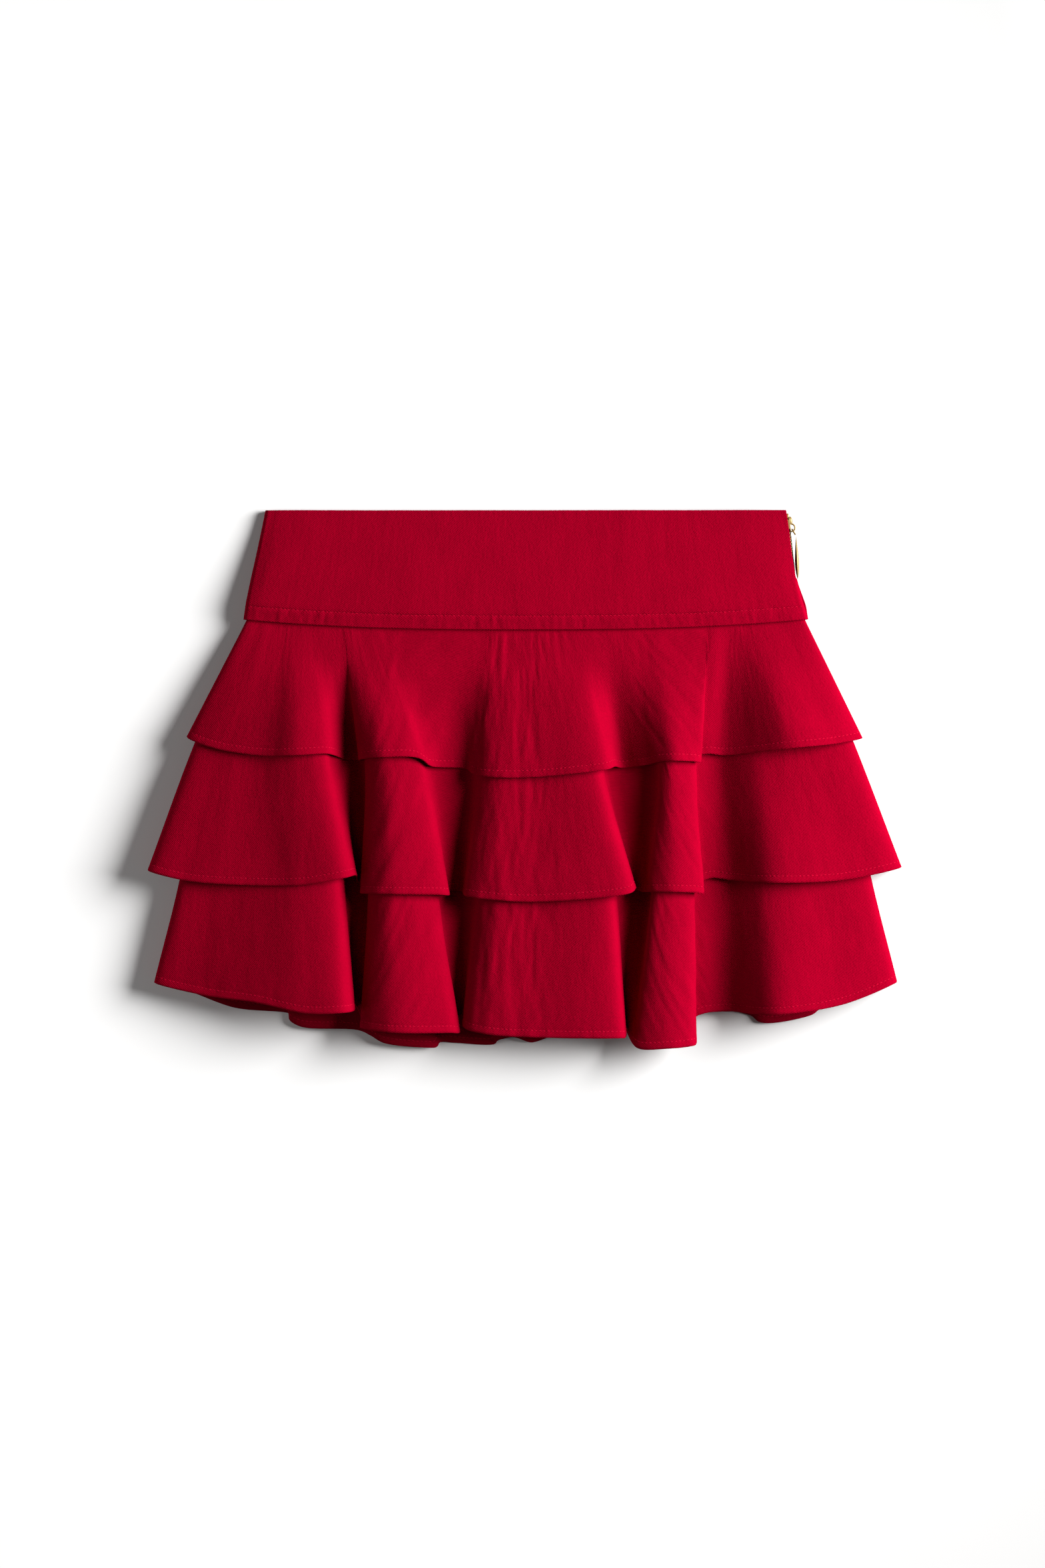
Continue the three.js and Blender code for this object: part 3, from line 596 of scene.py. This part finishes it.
def wrinkles(across, down, up, x, tier):
    """Relief in millimetres, from distances down from the seam and up from the hem and the place"""
    seed = 17 * tier
    soft = 0.3 * noise(across / 26, down / 90, seed)
    soft += 0.14 * noise(across / 11, down / 34, seed + 1)
    fine = 0.075 * noise(across / 3.4, down / 12, seed + 2)
    fine += 0.05 * noise(across / 1.6, down / 3.1, seed + 3)
    # Fold C is crinkled, fold B has slanting creases and fold D fine ribs
    in_c = ramp(x, -42, -32) * (1 - ramp(x, 2, 34))
    crinkles = in_c * (
        0.36 * noise(across / 5.6, down / 22, seed + 5)
        + 0.2 * noise(across / 2.7, down / 11, seed + 6)
        + 0.09 * noise(across / 1.4, down / 6, seed + 7)
    )
    in_b = ramp(x, -116, -100) * (1 - ramp(x, -62, -50))
    in_d = ramp(x, 70, 86) * (1 - ramp(x, 122, 134))
    slanted = across * 0.82 + down * 0.57
    along = down * 0.82 - across * 0.57
    slants = 0.42 * noise(slanted / 9, along / 42, seed + 8)
    slants += 0.2 * noise(slanted / 4.4, along / 30, seed + 9)
    mirrored = across * 0.85 - down * 0.5
    ribs = 0.27 * noise(mirrored / 3.4, (down + across) / 40, seed + 10)
    dimples = 0.3 * np.exp(-down / 7) * noise(across / 5.2, down / 20, seed + 4)
    hem = 0.14 * np.exp(-up / 7) * noise(across / 5, up / 12, seed + 11)
    groove = -0.34 * bump_at(up, HEM_STITCH, 0.8)
    turned = 0.16 / (1 + np.exp(np.minimum((up - HEM_STITCH) / 0.35, 50)))
    return soft + fine + crinkles + in_b * slants + in_d * ribs + dimples + hem + groove + turned


def back_wrinkles(across, down, up, x, tier):
    hem = 0.12 * np.exp(-up / 7) * noise(across / 5, up / 12, 90 + tier)
    return hem - 0.2 * bump_at(up, HEM_STITCH, 0.8)


def rows_for(covered, coarse, fine):
    """Parameters down the cloth: coarse where the flounce above covers it"""
    return np.concatenate(
        [np.linspace(0, covered, coarse, endpoint=False), np.linspace(covered, 1, fine)]
    )


def flounce(name, sections, down, count, relief, relief_from, folded):
    columns = even_columns(sections, count)
    grid = surface(sections, down, columns, folded)
    normal = normals_of(grid)
    span = lengths_along(grid.transpose(1, 0, 2)).T
    depth = lengths_along(grid)
    across = np.broadcast_to(span[-1], span.shape)
    amount = relief(across, depth - LAP, depth[-1] - depth, grid[..., 0])
    below = np.concatenate([[0], down]) - relief_from
    shown = np.clip(below / RELIEF_FADES, 0, 1)[:, None]
    edge = np.minimum(across, span[-1, -1] - across)
    amount = amount * shown * np.clip(edge / RELIEF_FROM_EDGE, 0, 1)
    grid = grid + normal * amount[..., None]
    grid[..., 2] = np.maximum(grid[..., 2], CLOTH / 2)
    made = shell(name, grid, CLOTH, np.stack([across, depth], axis=-1))
    return made, grid, depth[-1] - depth


def line_up_from_hem(grid, up, height):
    """The line on the cloth at an even distance from its hem, with the cloth's normals"""
    normal = normals_of(grid)
    points, normals = [], []
    for j in range(grid.shape[1]):
        at = np.interp(-height, -up[:, j], np.arange(len(up)))
        k = min(int(at), len(up) - 2)
        points.append(mix(grid[k, j], grid[k + 1, j], at - k))
        normals.append(mix(normal[k, j], normal[k + 1, j], at - k))
    return np.array(points), np.array(normals)


def stitches(name, points, normals, thickness, ends=1.5):
    """Threads along a line on the cloth's upper side"""
    along = lengths_along(points)
    places = np.arange(ends, along[-1] - ends, STITCH_PITCH)

    def at(values, where):
        return np.stack([np.interp(where, along, values[:, k]) for k in range(3)], axis=1)

    middle = at(points, places) + at(normals, places) * (thickness / 2 - THREAD_SINKS)
    tangent = at(points, places + 0.5) - at(points, places - 0.5)
    tangent /= np.linalg.norm(tangent, axis=1, keepdims=True)
    up = at(normals, places)
    up -= tangent * np.sum(up * tangent, axis=1, keepdims=True)
    up /= np.linalg.norm(up, axis=1, keepdims=True)
    side = np.cross(tangent, up)
    rings, sides = 5, 6
    local = []
    for i in range(rings):
        t = math.pi * (i + 0.5) / rings
        for j in range(sides):
            a = 2 * math.pi * j / sides
            wide, high = THREAD_WIDE * math.sin(t), THREAD_HIGH * math.sin(t)
            local.append((-THREAD_LONG * math.cos(t), wide * math.cos(a), high * math.sin(a)))
    local, faces = np.array(local), ring_faces(rings, sides)
    frames = np.stack([tangent, side, up], axis=1)
    points_out = middle[:, None] + np.einsum("pk,nkc->npc", local, frames)
    faces_out = faces[None] + (np.arange(len(places)) * len(local))[:, None, None]
    total = points_out.reshape(-1, 3)
    uv = total[:, :2] / UV_MM
    return mesh_object(name, total, faces_out.reshape(-1, 4), uv)


PANELS = {}  # by name: the cloth and its threads
FLOUNCE_ROWS = {1: (0.0, 0, 78), 2: (0.44, 16, 70), 3: (0.7, 24, 74)}  # covered, coarse, fine
BACK_ROWS, FRONT_COLUMNS, BACK_COLUMNS = 40, 440, 300
for tier in (1, 2, 3):
    covered, coarse, fine = FLOUNCE_ROWS[tier]
    sections = front_sections(tier)
    down = rows_for(covered, coarse, fine)
    relief = partial(wrinkles, tier=tier)
    made, grid, up = flounce(
        f"flounce_{tier}_front", sections, down, FRONT_COLUMNS, relief, covered, True
    )
    dress(made, RED, "skirt", "red_cloth", f"tier_{tier}_front")
    line, normal = line_up_from_hem(grid, up, HEM_STITCH)
    threads = stitches(f"hem_{tier}_front_stitches", line, normal, CLOTH)
    dress(threads, THREAD, "skirt", "red_cloth")
    PANELS[f"flounce_{tier}_front"] = (made, threads)

    sections = back_sections(tier)
    down = rows_for(covered, coarse // 2, BACK_ROWS)
    relief = partial(back_wrinkles, tier=tier)
    made, grid, up = flounce(
        f"flounce_{tier}_back", sections, down, BACK_COLUMNS, relief, covered, False
    )
    # The back panel gets the darker painted-shade copy of the cloth
    dress(made, SHADED_RED, "skirt", "red_cloth_inside", f"tier_{tier}_back")
    line, normal = line_up_from_hem(grid, up, HEM_STITCH)
    threads = stitches(f"hem_{tier}_back_stitches", line, normal, CLOTH)
    dress(threads, THREAD, "skirt", "red_cloth_inside")
    PANELS[f"flounce_{tier}_back"] = (made, threads)


# Yoke
def yoke_rows(front, f):
    """The panel's points at each of the yoke's levels"""
    rows = []
    edge = 1 - np.abs(f)
    turned = np.interp(edge, [e for e, _ in YOKE_TURNS], [t for _, t in YOKE_TURNS])
    low = YOKE_CLOTH / 2
    for k, (y, sag, left, right, left_z, z, right_z, closed) in enumerate(YOKE_LEVELS):
        at_edge = k == len(YOKE_LEVELS) - 1
        share = turned * np.where(f > 0, closed, 1)
        side = np.where(f < 0, left_z + PUFF[k] * PUFF_SIDE, right_z)
        x = np.where(f < 0, -f * left, f * right)
        if front:
            high = mix(z, side, f * f) + PUFF[k] * (
                PUFF_EDGE * (1 - np.exp(-edge * 26)) + PUFF_MIDDLE * (1 - f * f)
            )
            height = mix(high + (BAND_RAISE if at_edge else 0), (high + low) / 2 + GAP / 2, share)
        else:
            past = 0 if at_edge else BACK_EDGE_SHOWS * closed
            x = x + np.where(f > 0, f * past, 0)
            height = mix(low, (side + low) / 2 - GAP / 2, share)
        rows.append(np.stack([x, y + sag * (seam_y(x) - SEAM_Y), height], axis=1))
    return np.array(rows)


def yoke_columns(count):
    """Places across the yoke, closer together at its side edges"""
    inner = np.linspace(-0.985, 0.985, count)
    edge = np.array([0, 0.0022, 0.0045, 0.007, 0.0105])
    return np.concatenate([edge - 1, inner, (1 - edge)[::-1]])


def yoke_panel(name, front, count, steps):
    f = yoke_columns(count)
    levels = yoke_rows(front, f)
    places = np.concatenate(
        [np.linspace(k, k + 1, n, endpoint=False) for k, n in enumerate(steps)] + [[len(steps)]]
    )
    below = np.minimum(places.astype(int), len(levels) - 2)
    share = (places - below)[:, None, None]
    grid = mix(levels[below], levels[below + 1], share)
    for _ in range(3):
        grid[1:-1] = grid[1:-1] * 0.5 + (grid[:-2] + grid[2:]) * 0.25
    depth = lengths_along(grid)
    up = depth[-1] - depth
    across = np.broadcast_to(grid[-1:, :, 0], up.shape)
    return f, grid, up, across, depth


def yoke_relief(across, up, depth):
    """Puckers on the band, soft waves and crepe above it, and the stitched groove between"""
    band = 1 / (1 + np.exp((up - BAND) / 0.5))
    inside = band * np.clip(up / 2.5, 0.25, 1)
    strong = 0.6 + 0.55 * bump_at(across, -158, 28) + 0.5 * bump_at(across, -22, 16)
    puckers = 0.3 * noise(across / 2.9, up / 14, 5) + 0.16 * noise(across / 1.7, up / 9, 6)
    above = (1 - band) * (
        0.42 * noise(across / 42, depth / 36, 7)
        + 0.1 * noise(across / 13, depth / 30, 8)
        + 0.2 * np.exp(-np.abs(up - BAND) / 5) * noise(across / 4.2, depth / 20, 9)
        + 0.055 * noise(across / 3.1, depth / 16, 10)
        + 0.035 * noise(across / 1.7, depth / 5, 11)
    )
    groove = -0.6 * bump_at(up, BAND, 0.8)
    waist = 0.18 * np.exp(-depth / 1.6)
    return inside * puckers * strong + above + groove + waist + 0.2 * band


f, grid, up, across, depth = yoke_panel("yoke_front", True, 380, (14, 14, 13, 15, 5, 12))
side = np.clip((1 - np.abs(f)) / 0.02, 0, 1)
grid = grid + normals_of(grid) * (yoke_relief(across, up, depth) * side)[..., None]
yoke = shell("yoke_front_cloth", grid, YOKE_CLOTH, np.stack([across, depth], axis=-1))
dress(yoke, RED, "skirt", "red_cloth", "yoke_front")
line, normal = line_up_from_hem(grid, up, BAND)
yoke_threads = stitches("yoke_stitches", line, normal, YOKE_CLOTH, ends=4)
dress(yoke_threads, THREAD, "skirt", "red_cloth")

f, grid, up, across, depth = yoke_panel("yoke_back", False, 120, (6, 6, 6, 7, 3, 6))
yoke_under = shell("yoke_back_cloth", grid, YOKE_CLOTH, np.stack([across, depth], axis=-1))
# The yoke's back gets the darker painted-shade copy of the cloth
dress(yoke_under, SHADED_RED, "skirt", "red_cloth_inside", "yoke_back")


# Zip, standing on edge along the right side and facing +X
ZIP_TOP, ZIP_BOTTOM = 188.5, 141
TAPE_OUT, TAPE_CLOTH, CHAIN_THICK = -1.9, 1, 1.6
PLATE_OUT = TAPE_OUT + TAPE_CLOTH / 2 + CHAIN_THICK + 2 * GAP
CHAIN_REACH, CHAIN_TAPE = 2.1, 0.5
CHAIN_IN, CHAIN_LEANS = 0.25, -0.52  # out from the yoke's edge, and more for each millimetre up
CHAIN_ENDS_Y, CHAIN_ENDS_OVER = 136, 16
TOOTH, TOOTH_PITCH, TOOTH_FIRST, TOOTH_OUT = (0.85, 1.25, 2.1), 2.6, 0.8, 0.2
TOOTH_ROW, TEETH_LOW = 0.5, 0.3
STOP, STOP_OUT, STOP_Y, STOP_UP = (2.0, 3.8, 1.8), 0.5, 186.6, 7.3
SLIDER_Y, SLIDER_LONG, SLIDER_WIDE, SLIDER_THICK = 180.8, 11, 7.2, 0.9
CROWN, CROWN_OUT, CROWN_Y = (3.4, 5.9, 5.6), 0.2, 2.5
FLANGE, FLANGE_IN = (2.6, 6.8, 0.9), 0.7
BAIL_Y, BAIL_STANDS, BAIL_RADIUS, BAIL_WIRE = -2.6, 0.4, 2.7, 0.55
LINK_RADIUS, LINK_WIRE, LINK_SLACK, LINK_REST = 2.2, 0.45, 0.77, math.radians(-66)
PULL_LONG, PULL_WIDE, PULL_THICK, PULL_SWELL = 31, 6.6, 3.1, 0.86
PULL_TILT = math.radians(29.4)


def beside(y, column):
    """A column of the yoke's levels, at any height y"""
    ys = [level[0] for level in YOKE_LEVELS][::-1]
    return np.interp(y, ys, [level[column] for level in YOKE_LEVELS][::-1])


def zip_middle(y):
    return (YOKE_CLOTH + beside(y, RIGHT_Z) - YOKE_CLOTH / 2) / 2


SPAN = SLIDER_LONG / 2
SLANT = math.atan2(
    beside(SLIDER_Y - SPAN, RIGHT) - beside(SLIDER_Y + SPAN, RIGHT), 2 * SPAN
)


def turned_about_z(points, angle):
    c, s = math.cos(angle), math.sin(angle)
    x, y, z = points.T
    return np.stack([c * x - s * y, s * x + c * y, z], axis=1)


def on_zip(points):
    """From the slider's own frame to the skirt's"""
    origin = (beside(SLIDER_Y, RIGHT), SLIDER_Y, zip_middle(SLIDER_Y))
    return turned_about_z(points, SLANT) + origin


PLATE_FACE = PLATE_OUT + SLIDER_THICK
BAIL_OUT = PLATE_FACE + BAIL_STANDS


def on_bail(points):
    """From the frame of the link, which hangs on the bail, to the skirt's"""
    return on_zip(turned_about_z(points, LINK_REST) + (BAIL_OUT, BAIL_Y, 0))


def rounded_block(size, power=4, rings=12, sides=20):
    """A closed block with rounded edges, about the origin"""
    points = []
    for i in range(rings):
        t = math.pi * (i + 0.5) / rings
        for j in range(sides):
            a = 2 * math.pi * j / sides
            d = np.array([math.sin(t) * math.cos(a), math.sin(t) * math.sin(a), math.cos(t)])
            d /= np.sum(np.abs(d) ** power) ** (1 / power)
            points.append(d * np.array(size) / 2)
    return np.array(points), ring_faces(rings, sides, inside_out=True)


def tube(path, radius, sides=12, closed=False):
    """A round wire along a path of points"""
    path = np.asarray(path, float)
    n = len(path)
    if closed:
        tangent = np.roll(path, -1, 0) - np.roll(path, 1, 0)
    else:
        tangent = np.gradient(path, axis=0)
    tangent /= np.linalg.norm(tangent, axis=1, keepdims=True)
    flat = np.cross(path[1] - path[0], path[n // 2] - path[0])
    flat = flat / np.linalg.norm(flat)
    out = np.cross(tangent, flat)
    a = 2 * np.pi * np.arange(sides) / sides
    ring = np.cos(a)[None, :, None] * out[:, None] + np.sin(a)[None, :, None] * flat
    points = (path[:, None] + radius * ring).reshape(-1, 3)
    return points, ring_faces(n, sides, closed)


def together(parts):
    """Several meshes as one"""
    points, faces, count = [], [], 0
    for p, f in parts:
        points.append(p)
        faces.append(f + count)
        count += len(p)
    return np.concatenate(points), np.concatenate(faces)


def leaning(height, y):
    """How far the chain's tape stands out, at a height from its middle"""
    out = CHAIN_IN + CHAIN_LEANS * height
    return out * np.clip((y - CHAIN_ENDS_Y) / CHAIN_ENDS_OVER, 0, 1)


def zip_teeth():
    points, faces = rounded_block(TOOTH)
    points = turned_about_z(points, SLANT)
    parts = []
    for k in range(2 * int((ZIP_TOP - ZIP_BOTTOM) / TOOTH_PITCH)):
        y = ZIP_TOP - TOOTH_FIRST - k * TOOTH_PITCH / 2
        height = (TOOTH_ROW if k % 2 == 0 else -TOOTH_ROW) - TEETH_LOW
        out = beside(y, RIGHT) + leaning(height, y) + TOOTH_OUT
        parts.append((points + (out, y, zip_middle(y) + height), faces))
    return together(parts)


def strip():
    """The tape between the panels, leaning out towards the back panel; its nearly black colour is
    painted shade
    """
    heights = np.linspace(-CHAIN_REACH, CHAIN_REACH, 6)
    grid = np.array(
        [
            [(beside(y, RIGHT) + leaning(h, y), y, zip_middle(y) + h) for h in heights]
            for y in np.linspace(ZIP_TOP, ZIP_BOTTOM, 25)
        ]
    )
    return shell("zip_chain_tape", grid, CHAIN_TAPE)


dress(mesh_object("zip_teeth", *zip_teeth()), GOLD, "skirt", "gold_metal")
# The leaning tape strip carries the nearly black painted-shade material
dress(strip(), SHADED_TAPE, "skirt", "zip_tape", "zip_chain")
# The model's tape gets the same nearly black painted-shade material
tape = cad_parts["zip_tape"]
tape.data.materials.clear()
tape.data.materials.append(SHADED_TAPE)

points, faces = rounded_block(STOP)
points = points + (beside(STOP_Y, RIGHT) + STOP_OUT, STOP_Y, STOP_UP)
dress(mesh_object("zip_stop", points, faces), GOLD, "skirt", "gold_metal")


def slider():
    crown, crown_faces = rounded_block(CROWN, power=2.6, rings=18, sides=28)
    plate_size = (SLIDER_THICK, SLIDER_LONG, SLIDER_WIDE)
    plate, plate_faces = rounded_block(plate_size, power=7, rings=18, sides=32)
    parts = [
        (crown + (PLATE_FACE + CROWN_OUT, CROWN_Y, 0), crown_faces),
        (plate + (PLATE_OUT + SLIDER_THICK / 2, 0, 0), plate_faces),
    ]
    flange, flange_faces = rounded_block(FLANGE, power=6)
    for sign in (-1, 1):
        up = sign * (SLIDER_WIDE - FLANGE[2]) / 2
        parts.append((flange + (PLATE_OUT - FLANGE_IN, 0, up), flange_faces))
    turns = np.linspace(-math.pi / 2, math.pi / 2, 28)
    arc = [np.array((math.cos(a) * BAIL_RADIUS, math.sin(a) * BAIL_RADIUS, 0)) for a in turns]
    sunk = np.array([-BAIL_STANDS - SLIDER_THICK / 2, 0, 0])
    path = np.array([arc[0] + sunk, *arc, arc[-1] + sunk]) + (BAIL_OUT, BAIL_Y, 0)
    parts.append(tube(path, BAIL_WIRE))
    points, faces = together(parts)
    return mesh_object("zip_slider_body", on_zip(points), faces)


dress(slider(), GOLD, "skirt", "gold_metal", "zip_slider")

LINK_OUT = BAIL_RADIUS + LINK_SLACK
ring = [
    (LINK_OUT + LINK_RADIUS * math.cos(a), 0, LINK_RADIUS * math.sin(a))
    for a in np.linspace(0, 2 * math.pi, 40, endpoint=False)
]
points, faces = tube(ring, LINK_WIRE, closed=True)
dress(mesh_object("zip_link_wire", on_bail(points), faces), GOLD, "pull", "gold_metal", "zip_link")


def pull():
    """The drop, with a rounded ridge down its middle"""
    rings, sides = 60, 36
    points = []
    for k in range(rings + 1):
        t = k / rings
        drop = PULL_SWELL * math.sin(math.pi * t**1.55) ** 0.8 if 0 < t < 1 else 0
        neck = (1 - PULL_SWELL) * math.sqrt(1 - t) * min(1, t * 6)
        r = max((drop + neck) / 2, 0.004)
        for j in range(sides):
            a = 2 * math.pi * j / sides
            thick, wide = PULL_THICK * r * math.cos(a), PULL_WIDE * r * math.sin(a)
            points.append((PULL_LONG * t, thick, wide))
    points = turned_about_z(np.array(points), -PULL_TILT)
    points = points + (LINK_OUT + LINK_RADIUS + LINK_WIRE + GAP, 0, 0)
    return mesh_object("zip_pull_drop", on_bail(points), ring_faces(rings + 1, sides))


dress(pull(), GOLD, "pull", "gold_metal", "zip_pull")

# Camera, floor and light, in metres
VIEW_X, VIEW_Y, VIEW_Z = -0.00165, -0.0033, 0.014
FRAME_HIGH = 1.110
CAMERA_UP = 4.0
SENSOR = 36
FLOOR_REACH, FLOOR_Z = 3.0, -0.0006
FLOOR_TONES = {"From_Min": -0.45, "From_Max": 0.45, "To_Min": 0.95, "To_Max": 0.36}
KEY_AWAY, KEY_TURN, KEY_UP = 1.9, math.radians(13), math.radians(26)
KEY_SIZE, KEY_POWER, KEY_COLOR = 1.3, 150, (1, 0.995, 0.99)
FILL_AT, FILL_SIZE, FILL_POWER, FILL_COLOR = (-1.9, -0.2, 0.9), 1.4, 13, (1, 0.98, 0.97)
WORLD_STRENGTH = 0.035

camera_data = bpy.data.cameras.new("camera")
camera_data.sensor_width = SENSOR
camera_data.lens = SENSOR * CAMERA_UP / FRAME_HIGH
camera = bpy.data.objects.new("camera", camera_data)
camera.location = (VIEW_X, VIEW_Y, VIEW_Z + CAMERA_UP)
bpy.context.scene.collection.objects.link(camera)
bpy.context.scene.camera = camera


def floor_paper():
    """White paper whose tone evens out the key light's fall with distance"""
    material, tree, shader = new_material("floor_paper", (0.7, 0.7, 0.7), 0.9)
    shader.inputs["Specular IOR Level"].default_value = 0.1
    place = node(tree, "ShaderNodeTexCoord")
    towards_key = node(tree, "ShaderNodeVectorMath")
    towards_key.operation = "DOT_PRODUCT"
    towards_key.inputs[1].default_value = (math.cos(KEY_TURN), math.sin(KEY_TURN), 0)
    tree.links.new(place.outputs["Object"], towards_key.inputs[0])
    tone = node(tree, "ShaderNodeMapRange", **FLOOR_TONES)
    tree.links.new(towards_key.outputs["Value"], tone.inputs["Value"])
    tree.links.new(tone.outputs["Result"], shader.inputs["Base Color"])
    return material


floor_mesh = bpy.data.meshes.new("floor")
corners = [(x * FLOOR_REACH, y * FLOOR_REACH, 0) for x, y in ((-1, -1), (1, -1), (1, 1), (-1, 1))]
floor_mesh.from_pydata(corners, [], [(0, 1, 2, 3)])
floor = bpy.data.objects.new("floor", floor_mesh)
floor.location.z = FLOOR_Z
floor_mesh.materials.append(floor_paper())
bpy.context.scene.collection.objects.link(floor)


def area_light(name, place, size, energy, color):
    """A soft round light that faces the origin"""
    data = bpy.data.lights.new(name, "AREA")
    data.shape = "DISK"
    data.size = size
    data.energy = energy
    data.color = color
    light = bpy.data.objects.new(name, data)
    light.location = place
    light.rotation_euler = light.location.to_track_quat("Z", "Y").to_euler()
    bpy.context.scene.collection.objects.link(light)


key_place = (
    KEY_AWAY * math.cos(KEY_UP) * math.cos(KEY_TURN),
    KEY_AWAY * math.cos(KEY_UP) * math.sin(KEY_TURN),
    KEY_AWAY * math.sin(KEY_UP),
)
area_light("key", key_place, KEY_SIZE, KEY_POWER, KEY_COLOR)
area_light("fill", FILL_AT, FILL_SIZE, FILL_POWER, FILL_COLOR)
world = bpy.data.worlds.new("studio")
world.use_nodes = True
world.node_tree.nodes["Background"].inputs["Color"].default_value = (1, 1, 1, 1)
world.node_tree.nodes["Background"].inputs["Strength"].default_value = WORLD_STRENGTH
bpy.context.scene.world = world
bpy.context.scene.view_settings.view_transform = "Standard"

# What each sheet was cut to: width along its hem, length with its lap, and area, in millimetres
CUTS = {
    "flounce_1_front": (569, 118, 56800, "flounce_2_front"),
    "flounce_2_front": (661, 210, 113800, "flounce_3_front"),
    "flounce_3_front": (696, 302, 169000, "flounce_3_back"),
    "flounce_1_back": (497, 118, 52700, "floor"),
    "flounce_2_back": (553, 212, 102300, "flounce_1_back"),
    "flounce_3_back": (574, 306, 150500, "flounce_2_back"),
    "yoke_front_cloth": (399, 86, 32900, "flounce_1_front"),
    "yoke_back_cloth": (399, 86, 32900, "floor"),
}
PANELS["yoke_front_cloth"] = (yoke, yoke_threads)
PANELS["yoke_back_cloth"] = (yoke_under, None)
for name, (width, length, area, under) in CUTS.items():
    cloth, threads = PANELS[name]
